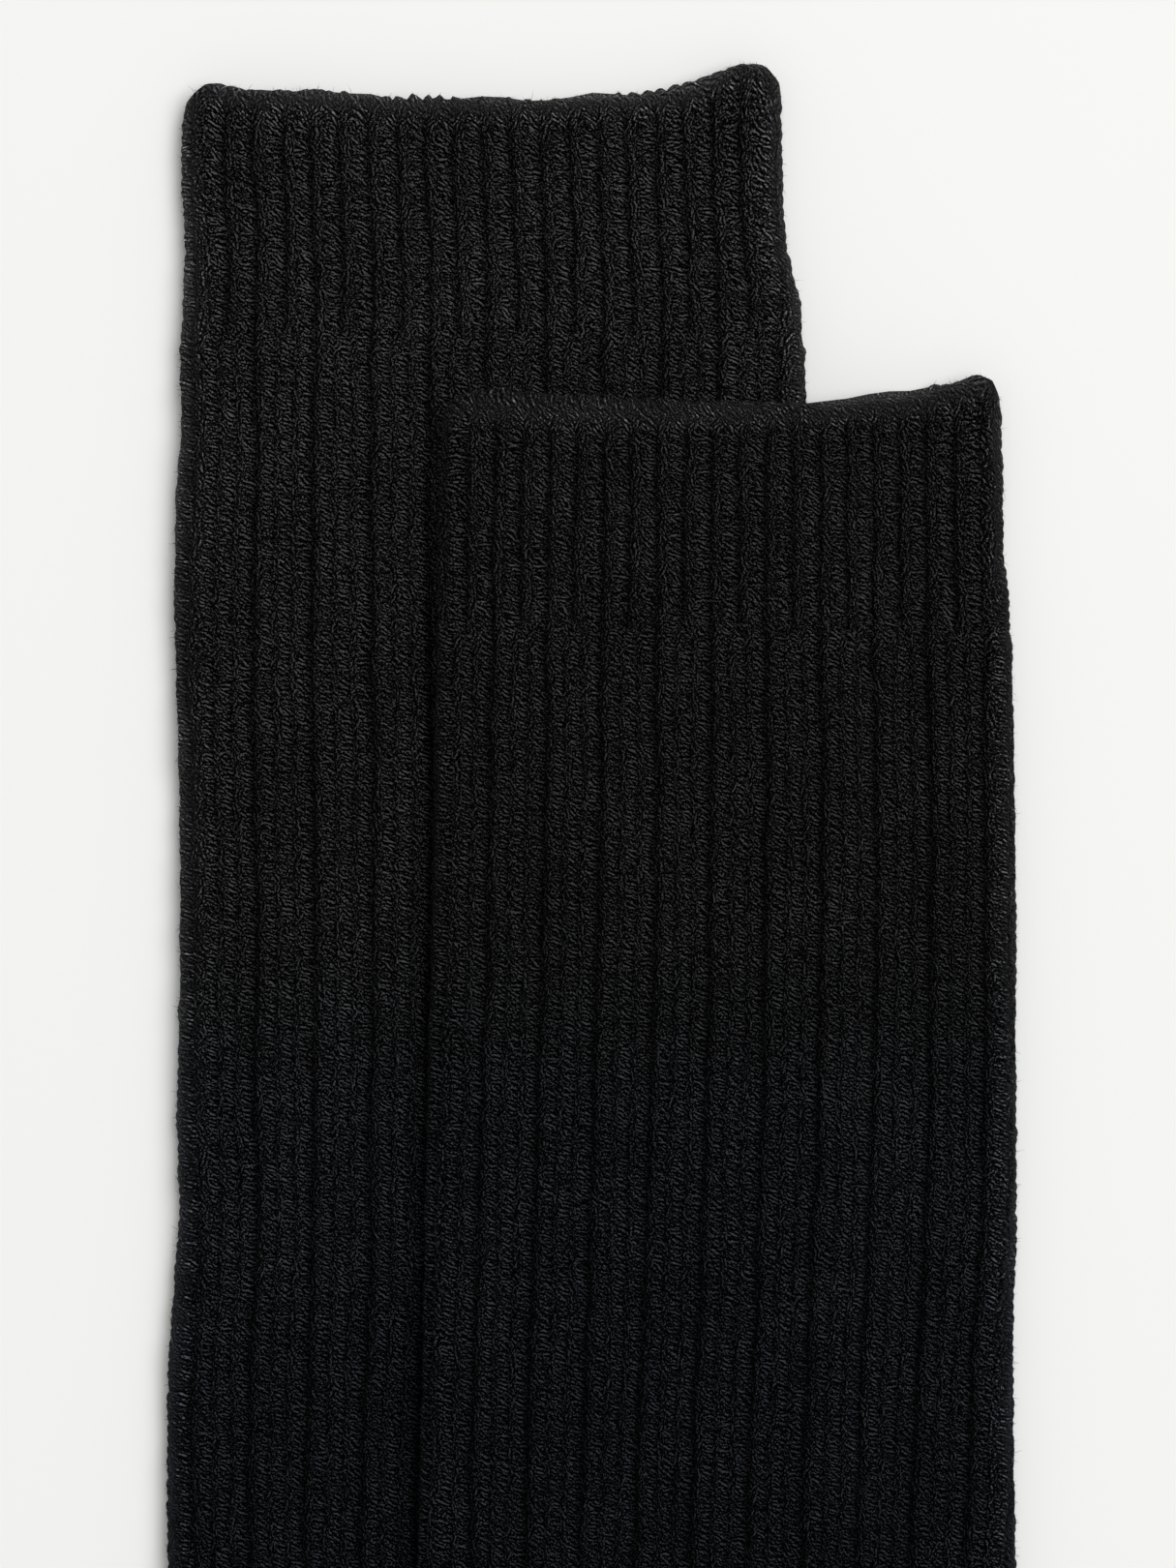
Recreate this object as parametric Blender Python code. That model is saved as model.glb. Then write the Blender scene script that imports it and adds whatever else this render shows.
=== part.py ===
"""A pair of rib-knit boot socks, laid flat with one sock partly on the other.

Each sock is one knitted tube: a 1x1 rib cuff, a 3x1 rib leg, a plain heel pocket, a foot
with ribs over the instep and a plain sole, and a plain, closed toe.  The tube lies
flattened, so it has an upper and a lower layer that meet in a front and a back fold.

Lengths are in millimetres.  A sock is worked out with its cuff's edge along y = 0, its leg
running towards -Y and its foot turned towards -X, and is then moved to its place in the
pair.  Places around the tube are counted in leg ribs, from a furrow near the front fold,
over the upper layer to the back fold and back under the lower layer.
"""

import math
from collections import namedtuple

import bmesh
import bpy
import numpy as np

METRES = 0.001

# The cloth
WALL = 2.1  # at the bottom of a furrow
RIB_RISE = 0.95  # how far a rib's crest stands above its furrows
PLAIN_RISE = 0.5  # the same for plain knitting
LAYER_GAP = 0.6  # between a sock's two layers
SOCK_GAP = 0.3  # between the two socks
LOWER_WALL = WALL + RIB_RISE  # the lower layer lies on its crests
TUBE_HEIGHT = LOWER_WALL + LAYER_GAP + WALL  # up to the furrows of the upper layer
FOLD_INSET = 0.75 * RIB_RISE  # from a fold's outline in to the bottom of its furrows

# Ribs and how finely they are drawn
LEG_RIBS = 22  # around the tube; the cuff has twice as many
POINTS_PER_RIB = 6  # across one leg rib of the upper layer
LOWER_STEP = 0.5  # leg ribs between points of the plain lower layer
LEG_FLANK = 0.19  # of a leg rib, from the furrow up to the crest
CUFF_FLANK = 0.29  # of a cuff rib

# Along the sock
CUFF_LENGTH = 33.0
LIP = 1.3  # the cuff's rounded edge: how far it reaches along the cloth
LIP_ROUNDING = 0.9  # and how much it takes off each face
EDGE_REACH = 26.0  # how far the edge's unevenness is felt down the cuff
ANKLE = 240.0  # from the cuff's edge to the bend of the instep
FOOT_TURN = math.radians(70)
INSTEP_RADIUS = 30.0
HEEL_RADIUS = 42.0
FOOT_LENGTH = 236.0  # heel to toe
TOE_LENGTH = 50.0
TOE_BLUNTNESS = 2.3  # 2 is an ellipse, more is squarer
BALL_TAPER = 3.0  # the sole side comes in by this towards the toe

# Stations along the tube, where a section is worked out
CUFF_STATIONS = (0.0, LIP, 8.0, 16.0, 24.0, CUFF_LENGTH - 1.8, CUFF_LENGTH + 1.8)
LEG_STATIONS = (58.0, 86.0, 114.0, 142.0, 170.0, 200.0, ANKLE - 12.0, ANKLE)
BEND_SHARES = (0.08, 0.11, 0.22, 0.32, 0.38, 0.44, 0.50, 0.56, 0.62, 0.68, 0.82, 1.0)
FOOT_SHARES = (0.33, 0.67, 1.0)
TOE_SHARES = (0.04, 0.2, 0.38, 0.54, 0.68, 0.79, 0.88, 0.94, 0.975, 0.993)
HEEL_START = 0.1  # share of the bend where the plain heel begins at the back
ARC_STEPS = 12  # in the bends of the instep and the heel

# How the over sock drapes off the under sock's edge
DRAPE_START = 2.5  # outside the under sock's outline
DRAPE_REACH = 14.0  # from there down to the surface

# One row for each height of the leg: how far down it is, where the front and back folds
# are, the place of the front fold in ribs, and how many ribs the upper layer shows.
LegRow = namedtuple("LegRow", "down front back rib_at_front ribs_across")
# The cuff's uneven edge: share of the way across, then how far the upper and the lower
# layer rise there.
EdgeRow = namedtuple("EdgeRow", "across upper lower")
Sock = namedtuple("Sock", "name place legs edge side_rib inner_points")
Section = namedtuple("Section", "front back knit rib_at_front ribs_across down to_tip")

UNDER_SOCK = Sock(
    name="sock_under",
    place=(0.0, 0.0),
    legs=(
        LegRow(0.0, -44.0, 41.2, -0.46, 10.92),
        LegRow(14.0, -44.4, 41.7, -0.46, 10.92),
        LegRow(22.5, -44.4, 42.7, -0.46, 10.95),
        LegRow(28.7, -44.6, 44.3, -0.45, 11.00),
        LegRow(39.0, -44.8, 45.0, -0.45, 11.07),
        LegRow(61.0, -45.5, 45.2, -0.48, 11.07),
        LegRow(108.0, -44.8, 45.2, -0.53, 11.07),
        LegRow(144.0, -45.6, 45.3, -0.58, 11.08),
        LegRow(161.0, -45.2, 45.3, -0.61, 11.08),
        LegRow(181.0, -46.5, 45.2, -0.65, 11.10),
        LegRow(206.0, -46.5, 45.0, -0.69, 11.10),
        LegRow(ANKLE, -45.5, 45.0, -0.72, 11.10),
    ),
    edge=(
        EdgeRow(0.00, 0.0, 0.0),
        EdgeRow(0.03, 2.3, 2.2),
        EdgeRow(0.10, 1.4, 1.3),
        EdgeRow(0.20, 1.2, 1.1),
        EdgeRow(0.38, 0.0, 0.0),
        EdgeRow(0.55, 0.1, 0.1),
        EdgeRow(0.75, 0.9, 0.8),
        EdgeRow(0.86, 2.5, 2.4),
        EdgeRow(0.94, 5.3, 5.1),
        EdgeRow(0.98, 4.6, 4.5),
        EdgeRow(1.00, 2.4, 2.4),
    ),
    side_rib=5.0,
    inner_points=12,
)
OVER_SOCK = Sock(
    name="sock_over",
    place=(33.0, -43.0),
    legs=(
        LegRow(0.0, -40.0, 39.9, -1.19, 10.83),
        LegRow(12.0, -40.6, 40.2, -1.19, 10.83),
        LegRow(23.4, -41.0, 40.7, -1.20, 10.86),
        LegRow(30.1, -41.2, 42.0, -1.22, 10.95),
        LegRow(34.6, -41.3, 41.7, -1.24, 11.00),
        LegRow(58.3, -41.5, 42.2, -1.27, 11.03),
        LegRow(86.2, -41.8, 42.3, -1.23, 11.05),
        LegRow(114.1, -42.2, 42.3, -1.20, 11.06),
        LegRow(142.0, -43.0, 41.9, -1.16, 11.08),
        LegRow(166.0, -43.8, 42.3, -1.12, 11.10),
        LegRow(ANKLE, -44.5, 42.6, -1.08, 11.10),
    ),
    edge=(
        EdgeRow(0.00, -1.4, -1.4),
        EdgeRow(0.02, 0.6, 0.4),
        EdgeRow(0.08, 0.7, 0.5),
        EdgeRow(0.18, 0.1, 0.0),
        EdgeRow(0.30, -0.7, -0.8),
        EdgeRow(0.55, -1.0, -0.9),
        EdgeRow(0.66, -0.6, -0.1),
        EdgeRow(0.77, 0.1, 1.0),
        EdgeRow(0.87, 1.0, 1.8),
        EdgeRow(0.90, 2.1, 2.2),
        EdgeRow(0.96, 2.9, 2.9),
        EdgeRow(0.985, 2.8, 2.8),
        EdgeRow(1.00, 1.7, 1.7),
    ),
    side_rib=4.0,
    inner_points=18,
)


def leg_row_at(sock, down):
    """The leg's row at any height, between the rows of its table."""
    heights = [row.down for row in sock.legs]
    columns = zip(*sock.legs, strict=True)
    return LegRow(*(float(np.interp(down, heights, column)) for column in columns))


def arc(centre, radius, turn):
    """Points on an arc that starts due +X of its centre and turns clockwise."""
    angles = np.linspace(0.0, turn, ARC_STEPS + 1)
    return [centre + radius * np.array([math.cos(a), -math.sin(a)]) for a in angles]


def point_on(route, share):
    """The point at this share of a route's length."""
    route = np.array(route)
    lengths = np.linalg.norm(np.diff(route, axis=0), axis=1)
    places = np.concatenate([[0.0], np.cumsum(lengths)]) / lengths.sum()
    return np.array([np.interp(share, places, route[:, axis]) for axis in (0, 1)])


def leg_sections(sock):
    """Sections straight across the cuff and the leg."""
    for down in CUFF_STATIONS + LEG_STATIONS:
        row = leg_row_at(sock, down)
        front = np.array([row.front, -down])
        back = np.array([row.back, -down])
        knit = "cuff" if down < CUFF_LENGTH else "leg"
        yield Section(front, back, knit, row.rib_at_front, row.ribs_across, down, math.inf)


def foot_sections(sock):
    """Sections that fan out around the heel, cross the foot and close over the toes."""
    ankle = sock.legs[-1]
    ribs = (ankle.rib_at_front, ankle.ribs_across)
    width = ankle.back - ankle.front
    along = np.array([-math.sin(FOOT_TURN), -math.cos(FOOT_TURN)])
    to_sole = np.array([math.cos(FOOT_TURN), -math.sin(FOOT_TURN)])

    instep_centre = np.array([ankle.front - INSTEP_RADIUS, -ANKLE])
    front_route = arc(instep_centre, INSTEP_RADIUS, FOOT_TURN)
    instep = front_route[-1]
    sole = instep + width * to_sole
    # The heel's arc touches the back of the leg and the line of the sole.
    heel_x = ankle.back - HEEL_RADIUS
    heel_drop = (HEEL_RADIUS + (heel_x - sole[0]) * to_sole[0]) / -to_sole[1]
    heel_centre = np.array([heel_x, sole[1] + heel_drop])
    back_of_ankle = np.array([ankle.back, -ANKLE])
    back_route = [back_of_ankle, *arc(heel_centre, HEEL_RADIUS, FOOT_TURN), sole]
    for share in BEND_SHARES:
        knit = "leg" if share <= HEEL_START else "foot"
        places = point_on(front_route, share), point_on(back_route, share)
        yield Section(*places, knit, *ribs, math.inf, math.inf)

    heel_behind = HEEL_RADIUS - (heel_centre - instep) @ along
    foot_run = FOOT_LENGTH - TOE_LENGTH - heel_behind
    for share in FOOT_SHARES:
        step = share * foot_run * along
        taper = share * BALL_TAPER * to_sole
        yield Section(instep + step, sole + step - taper, "foot", *ribs, math.inf, math.inf)

    toe_front = instep + foot_run * along
    toe_back = sole + foot_run * along - BALL_TAPER * to_sole
    middle = (toe_front + toe_back) / 2
    half = (toe_back - toe_front) / 2
    for share in TOE_SHARES:
        narrowing = (1 - share**TOE_BLUNTNESS) ** (1 / TOE_BLUNTNESS)
        centre = middle + share * TOE_LENGTH * along
        to_tip = (1 - share) * TOE_LENGTH
        folds = centre - narrowing * half, centre + narrowing * half
        yield Section(*folds, "toe", *ribs, math.inf, to_tip)


def rib_rise(section, ribs, side_rib):
    """How far the cloth stands above its furrows at each place around the tube."""
    if section.knit == "cuff":
        pitch, flank = 0.5, CUFF_FLANK
    else:
        pitch, flank = 1.0, LEG_FLANK
    share = (ribs / pitch) % 1
    climb = np.minimum(np.minimum(share, 1 - share) / flank, 1)
    rise = RIB_RISE * (1 - (1 - climb) ** 2)
    if section.knit == "toe":
        return np.full_like(rise, PLAIN_RISE)
    if section.knit == "foot":
        return np.where(ribs > side_rib, PLAIN_RISE, rise)
    return rise


def rib_places(sock):
    """Where a ring has its points: close together over the ribs, further apart below."""
    first = min(row.rib_at_front for row in sock.legs)
    last = max(row.rib_at_front + row.ribs_across for row in sock.legs)
    first = math.floor(first * POINTS_PER_RIB) / POINTS_PER_RIB
    last = math.ceil(last * POINTS_PER_RIB) / POINTS_PER_RIB
    upper = np.linspace(first, last, round((last - first) * POINTS_PER_RIB) + 1)
    below = first + LEG_RIBS - last
    lower = last + np.linspace(0, below, round(below / LOWER_STEP) + 1)[1:-1]
    return np.concatenate([upper, lower])


def flattened_ring(width, height, section, ribs):
    """Across, up and the outward direction on a flat-sided loop with round folds."""
    radius = min(width, height) / 2
    corner = math.pi / 2 * radius
    half_round = width - 2 * radius + 2 * corner
    from_front = (ribs - section.rib_at_front) % LEG_RIBS
    above = from_front <= section.ribs_across
    lower_ribs = LEG_RIBS - section.ribs_across
    run = np.where(
        above,
        from_front / section.ribs_across,
        (LEG_RIBS - from_front) / lower_ribs,
    )
    run = run * half_round
    at_front = np.clip(run, 0, corner) / radius
    at_back = np.clip(run - half_round + corner, 0, corner) / radius
    flat = np.clip(run - corner, 0, width - 2 * radius)
    across = radius * (1 - np.cos(at_front)) + flat + radius * np.sin(at_back)
    out_across = np.sin(at_back) - np.cos(at_front)
    out_up = np.where(run < half_round / 2, np.sin(at_front), np.cos(at_back))
    side = np.where(above, 1.0, -1.0)
    middle = height / 2
    return across, middle + side * radius * out_up, out_across, side * out_up


def edge_lift(sock, section, share, is_upper):
    """How far the cuff's uneven edge lifts a place up the photo's page."""
    shares = [row.across for row in sock.edge]
    upper = np.interp(share, shares, [row.upper for row in sock.edge])
    lower = np.interp(share, shares, [row.lower for row in sock.edge])
    fading = max(0.0, 1 - section.down / EDGE_REACH) ** 2
    return np.where(is_upper, upper, lower) * fading


def placed(sock, section, across, up, is_upper):
    """Points of a ring, from across and up to x, y and z."""
    width = np.linalg.norm(section.back - section.front)
    share = across / width
    points = section.front + share[:, None] * (section.back - section.front)
    points[:, 1] += edge_lift(sock, section, np.clip(share, 0, 1), is_upper)
    return np.column_stack([points + np.array(sock.place), up])


def outer_ring(sock, section, ribs):
    """The tube's outside: ribbed above and round the folds, and plain below."""
    width = np.linalg.norm(section.back - section.front) - 2 * FOLD_INSET
    # Towards the toe's tip the tube gets lower, on a quarter circle.
    tip = 1 - min(section.to_tip / (TUBE_HEIGHT / 2), 1)
    height = TUBE_HEIGHT * math.sqrt(1 - tip**2)
    width = max(width, height)
    across, up, out_across, out_up = flattened_ring(width, height, section, ribs)
    rise = rib_rise(section, ribs, sock.side_rib) * np.clip(1 + out_up, 0, 1)
    up = up + (TUBE_HEIGHT - height) / 2 + rise * out_up
    if section.down == 0.0:
        up = np.clip(up, LIP_ROUNDING, TUBE_HEIGHT + rise - LIP_ROUNDING)
    return placed(sock, section, across + FOLD_INSET + rise * out_across, up, out_up > 0)


def inner_ring(sock, section):
    """The plain inside: two layers a small gap apart."""
    width = np.linalg.norm(section.back - section.front)
    fold = LOWER_WALL + FOLD_INSET
    over = np.linspace(fold, width - fold, sock.inner_points)
    across = np.concatenate([over, over[::-1]])
    is_upper = np.arange(len(across)) < sock.inner_points
    up = np.where(is_upper, LOWER_WALL + LAYER_GAP, LOWER_WALL)
    return placed(sock, section, across, up, is_upper)


def distance_outside(outline, points):
    """How far each point lies outside a closed outline, less than 0 inside it."""
    starts = outline
    runs = np.roll(outline, -1, axis=0) - outline
    away = points[:, None, :] - starts[None, :, :]
    share = np.clip((away * runs).sum(2) / (runs**2).sum(1), 0, 1)
    gaps = np.linalg.norm(away - share[..., None] * runs, axis=2).min(axis=1)
    rises = (starts[None, :, 1] > points[:, None, 1]) != (
        (starts + runs)[None, :, 1] > points[:, None, 1]
    )
    # A level run is never crossed, so its slope is of no use.
    slope = runs[:, 0] / np.where(runs[:, 1] == 0, 1, runs[:, 1])
    crossing = starts[:, 0] + slope * (points[:, None, 1] - starts[:, 1])
    inside = ((points[:, None, 0] < crossing) & rises).sum(axis=1) % 2 == 1
    return np.where(inside, -gaps, gaps)


def outline_of(sock, sections):
    """The sock's outline seen from above, with the cuff's uneven edge."""
    shares = np.array([row.across for row in sock.edge])
    rises = np.array([max(row.upper, row.lower) for row in sock.edge])
    top = sections[0]
    edge = top.front + shares[:, None] * (top.back - top.front)
    edge[:, 1] += rises
    backs = np.array([section.back for section in sections[1:]])
    fronts = np.array([section.front for section in sections[1:]])
    return np.concatenate([edge, backs, fronts[::-1]]) + np.array(sock.place)


def drape(points, outline):
    """Lifts points onto the sock below, easing down to the surface past its edge."""
    full = TUBE_HEIGHT + RIB_RISE + SOCK_GAP
    outside = distance_outside(outline, points[:, :2])
    left = np.clip(1 - (outside - DRAPE_START) / DRAPE_REACH, 0, 1)
    points = points.copy()
    points[:, 2] += full * left**2 * (3 - 2 * left)
    return points


def bridge(mesh, ring, next_ring):
    """Quads between two rings of as many points."""
    count = len(ring)
    for i in range(count):
        j = (i + 1) % count
        mesh.faces.new((ring[i], ring[j], next_ring[j], next_ring[i]))


def close_tip(mesh, ring):
    """A fan of triangles over a small last ring."""
    middle = sum((v.co for v in ring), start=ring[0].co * 0) / len(ring)
    tip = mesh.verts.new(middle)
    for i, vert in enumerate(ring):
        mesh.faces.new((vert, ring[(i + 1) % len(ring)], tip))


def around_tube(section, ribs):
    """Shares of the way around: 0 at the front fold, a half at the back fold."""
    from_front = ribs - section.rib_at_front
    lower_ribs = LEG_RIBS - section.ribs_across
    past_back = from_front - section.ribs_across
    upper = from_front / section.ribs_across / 2
    lower = 0.5 + past_back / lower_ribs / 2
    before_front = from_front / lower_ribs / 2
    return np.where(past_back > 0, lower, np.where(from_front < 0, before_front, upper))


def join_edge(mesh, outer, outer_around, inner, inner_around):
    """Triangles over the cuff's edge, between rings of unlike counts."""
    outer_next = np.append(outer_around[1:], outer_around[0] + 1)
    inner_next = np.append(inner_around[1:], inner_around[0] + 1)
    i, j = 0, 0
    while i < len(outer) or j < len(inner):
        outer_here = outer[i % len(outer)]
        inner_here = inner[j % len(inner)]
        if j == len(inner) or (i < len(outer) and outer_next[i] <= inner_next[j]):
            i += 1
            mesh.faces.new((inner_here, outer[i % len(outer)], outer_here))
        else:
            j += 1
            mesh.faces.new((inner_here, inner[j % len(inner)], outer_here))


def knit_sock(sock, outline_below, material):
    """One sock as a closed wall: outside rings, inside rings, edge and toe."""
    sections = [*leg_sections(sock), *foot_sections(sock)]
    ribs = rib_places(sock)
    mesh = bmesh.new()

    def add(points):
        if outline_below is not None:
            points = drape(points, outline_below)
        return [mesh.verts.new(point * METRES) for point in points]

    outer = [add(outer_ring(sock, section, ribs)) for section in sections]
    roomy = [s for s in sections if s.to_tip > 2 * LOWER_WALL]
    inner = [add(inner_ring(sock, section)) for section in roomy]
    for ring, next_ring in zip(outer, outer[1:], strict=False):
        bridge(mesh, ring, next_ring)
    for ring, next_ring in zip(inner, inner[1:], strict=False):
        bridge(mesh, ring[::-1], next_ring[::-1])
    close_tip(mesh, outer[-1])
    close_tip(mesh, inner[-1][::-1])
    layer = np.linspace(0, 0.5, sock.inner_points)
    inner_around = np.concatenate([layer, layer + 0.5])
    join_edge(mesh, outer[0], around_tube(sections[0], ribs), inner[0], inner_around)
    bmesh.ops.recalc_face_normals(mesh, faces=mesh.faces)
    data = bpy.data.meshes.new(sock.name)
    mesh.to_mesh(data)
    mesh.free()
    data.shade_smooth()
    data.materials.append(material)
    sock_object = bpy.data.objects.new(sock.name, data)
    bpy.context.collection.objects.link(sock_object)
    return sock_object, outline_of(sock, sections)


def black_yarn():
    """Soft spun yarn, dyed black: rough, with a little sheen from its fibre ends."""
    material = bpy.data.materials.new("black_yarn")
    material.use_nodes = True
    shader = material.node_tree.nodes["Principled BSDF"]
    shader.inputs["Base Color"].default_value = (0.012, 0.012, 0.013, 1.0)
    shader.inputs["Roughness"].default_value = 0.9
    shader.inputs["Metallic"].default_value = 0.0
    return material


def centre_pair(objects):
    """Moves the pair so that the middle of its footprint is the origin."""
    corners = np.array([v.co[:] for o in objects for v in o.data.vertices])
    middle = (corners.min(axis=0) + corners.max(axis=0)) / 2
    for sock_object in objects:
        for vert in sock_object.data.vertices:
            vert.co.x -= middle[0]
            vert.co.y -= middle[1]


for leftover in list(bpy.data.objects):
    bpy.data.objects.remove(leftover, do_unlink=True)

yarn = black_yarn()
under, under_outline = knit_sock(UNDER_SOCK, None, yarn)
over, _ = knit_sock(OVER_SOCK, under_outline, yarn)
centre_pair([under, over])
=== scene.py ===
"""A pair of black rib-knit boot socks, laid flat with one sock partly on the other.

Each sock is one tube, knitted from the cuff's edge down to the toe, and lies flattened, so
it has an upper and a lower layer that meet in a front and a back fold.  Lengths are in
millimetres until a mesh is made.  A sock is worked out with its cuff's edge along y = 0, its
leg running towards -Y and its foot turned towards -X.  A place on it is given by ribs, how
many leg ribs around the tube, and down, how far along the tube from the cuff's edge.
"""

import math
from collections import namedtuple

import bpy
import numpy as np
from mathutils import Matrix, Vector


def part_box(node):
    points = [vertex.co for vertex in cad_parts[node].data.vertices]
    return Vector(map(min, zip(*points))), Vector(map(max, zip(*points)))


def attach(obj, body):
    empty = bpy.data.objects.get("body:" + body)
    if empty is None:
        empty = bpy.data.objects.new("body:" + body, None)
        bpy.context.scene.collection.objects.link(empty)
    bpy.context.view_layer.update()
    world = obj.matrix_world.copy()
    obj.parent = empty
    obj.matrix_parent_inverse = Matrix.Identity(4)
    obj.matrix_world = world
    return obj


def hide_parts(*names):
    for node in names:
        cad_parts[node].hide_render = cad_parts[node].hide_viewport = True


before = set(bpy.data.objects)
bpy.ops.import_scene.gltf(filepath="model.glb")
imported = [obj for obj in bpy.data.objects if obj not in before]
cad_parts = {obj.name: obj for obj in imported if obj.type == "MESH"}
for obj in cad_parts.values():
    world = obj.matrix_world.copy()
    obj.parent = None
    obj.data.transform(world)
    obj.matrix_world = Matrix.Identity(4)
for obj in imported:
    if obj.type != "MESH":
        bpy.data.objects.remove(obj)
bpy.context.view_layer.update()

# The cuffs
#
# The first 33 mm of each tube, in 1x1 rib of thick spun yarn with elastic laid in.  The edge
# is a turned welt, which rounds over smooth and fuzzy before the ribs begin.  The whole
# sock's form is worked out here, because the cuff is where the machine starts.

METRES = 0.001
WALL = 2.1  # at the bottom of a furrow
RIB_RISE = 0.95  # a rib's crest above its furrows
LAYER_GAP = 0.6  # between a sock's two layers
SOCK_GAP = 0.3  # between the two socks
LOWER_WALL = WALL + RIB_RISE
TUBE_HEIGHT = LOWER_WALL + LAYER_GAP + WALL
FOLD_INSET = 0.75 * RIB_RISE  # from a fold's outline in to the bottom of its furrows
FOLD_CLOTH = 1.1  # cloth in a quarter of a fold, for its radius
FOLD_RUN = FOLD_CLOTH * TUBE_HEIGHT / 2
FOLD_STRETCH = math.pi / 2 * TUBE_HEIGHT / 2 - FOLD_RUN
AROUND = 22  # leg ribs around the tube
WALES_PER_RIB = 4  # needles to a leg rib
COURSE = 1.55  # height of one row of stitches
RIB_WIDTH = 8.3

CUFF_LENGTH = 33.0
ANKLE = 240.0
FOOT_TURN = math.radians(70)
INSTEP_RADIUS = 30.0
HEEL_RADIUS = 42.0
FOOT_LENGTH = 236.0
TOE_LENGTH = 50.0
TOE_BLUNTNESS = 2.3
TOE_SEAM = 13.0  # the linked seam, short of the tip
BALL_TAPER = 3.0
TIP_CLOSED = 0.02  # short of the toe's tip, where the last ring is drawn
HEEL_START = 0.1  # share of the ankle's bend where the plain heel begins
EDGE_REACH = 26.0  # how far the edge's unevenness is felt down the cuff
OUTLINE_EASE = 5.0  # how far the sides' corners are eased along the leg
DRAPE_START = 2.5  # outside the under sock's outline
DRAPE_REACH = 14.0  # from there down to the surface
BEND_STEPS = 240  # points along each fold round the ankle, down the foot and round the toe
FOOT_STEPS = 150
TOE_STEPS = 400
CREASE_LEAN = 0.6  # how far a crease leans to one side as it runs out
CREASE_FADE = 1.5  # how soon it fades towards its ends

LegRow = namedtuple("LegRow", "down front back rib_at_front ribs_across")
EdgeRow = namedtuple("EdgeRow", "across upper lower welt")
Crease = namedtuple("Crease", "x y heading length width rise")
Sock = namedtuple("Sock", "name place seed side_rib brightness legs edge creases")

UNDER_SOCK = Sock(
    name="under",
    place=(0.0, 0.0),
    seed=11,
    side_rib=5.0,
    brightness=1.8,
    legs=(
        LegRow(0.0, -43.9, 41.4, -0.16, 10.33),
        LegRow(6.0, -44.4, 41.6, -0.16, 10.33),
        LegRow(14.0, -44.2, 41.9, -0.16, 10.33),
        LegRow(22.5, -43.9, 42.5, -0.17, 10.37),
        LegRow(28.7, -44.2, 44.3, -0.19, 10.53),
        LegRow(39.0, -44.7, 45.1, -0.22, 10.68),
        LegRow(48.0, -44.6, 45.2, -0.25, 10.72),
        LegRow(58.0, -45.3, 45.2, -0.26, 10.65),
        LegRow(69.0, -45.6, 45.2, -0.25, 10.55),
        LegRow(83.0, -45.3, 45.2, -0.21, 10.45),
        LegRow(104.0, -44.7, 45.2, -0.21, 10.48),
        LegRow(125.0, -44.8, 45.2, -0.25, 10.65),
        LegRow(146.0, -45.1, 45.3, -0.28, 10.80),
        LegRow(161.0, -44.7, 45.3, -0.30, 10.90),
        LegRow(170.0, -45.4, 45.3, -0.33, 10.94),
        LegRow(181.0, -46.4, 45.2, -0.35, 10.98),
        LegRow(206.0, -46.6, 45.0, -0.38, 11.25),
        LegRow(ANKLE, -45.5, 45.0, -0.38, 11.20),
    ),
    edge=(
        EdgeRow(0.000, 0.2, 0.2, 1.6),
        EdgeRow(0.012, 1.5, 1.5, 1.6),
        EdgeRow(0.028, 2.8, 2.7, 1.6),
        EdgeRow(0.050, 2.4, 2.3, 1.7),
        EdgeRow(0.100, 1.6, 1.5, 1.8),
        EdgeRow(0.180, 1.4, 1.3, 1.9),
        EdgeRow(0.254, 1.0, 0.9, 1.9),
        EdgeRow(0.380, 0.0, 0.0, 1.8),
        EdgeRow(0.550, 0.1, 0.1, 1.8),
        EdgeRow(0.750, 0.7, 0.6, 1.6),
        EdgeRow(0.800, 1.1, 1.0, 1.6),
        EdgeRow(0.860, 2.6, 2.5, 1.6),
        EdgeRow(0.920, 5.0, 4.8, 1.6),
        EdgeRow(0.945, 6.2, 6.0, 1.6),
        EdgeRow(0.965, 5.9, 5.8, 1.6),
        EdgeRow(0.985, 5.3, 5.2, 1.6),
        EdgeRow(1.000, 3.5, 3.5, 1.6),
    ),
    creases=(
        Crease(-34.0, -246.0, 205.0, 42.0, 5.0, -0.40),
        Crease(-32.0, -258.0, 228.0, 50.0, 6.5, 0.70),
        Crease(-28.0, -268.0, 250.0, 36.0, 5.0, -0.40),
        Crease(12.0, -290.0, 325.0, 34.0, 8.0, 0.45),
        Crease(-85.0, -290.0, 120.0, 46.0, 9.0, 0.40),
        Crease(5.0, -60.0, 282.0, 60.0, 12.0, 0.25),
        Crease(-30.0, -150.0, 262.0, 70.0, 10.0, -0.20),
        Crease(28.0, -190.0, 250.0, 50.0, 9.0, 0.25),
    ),
)
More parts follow.
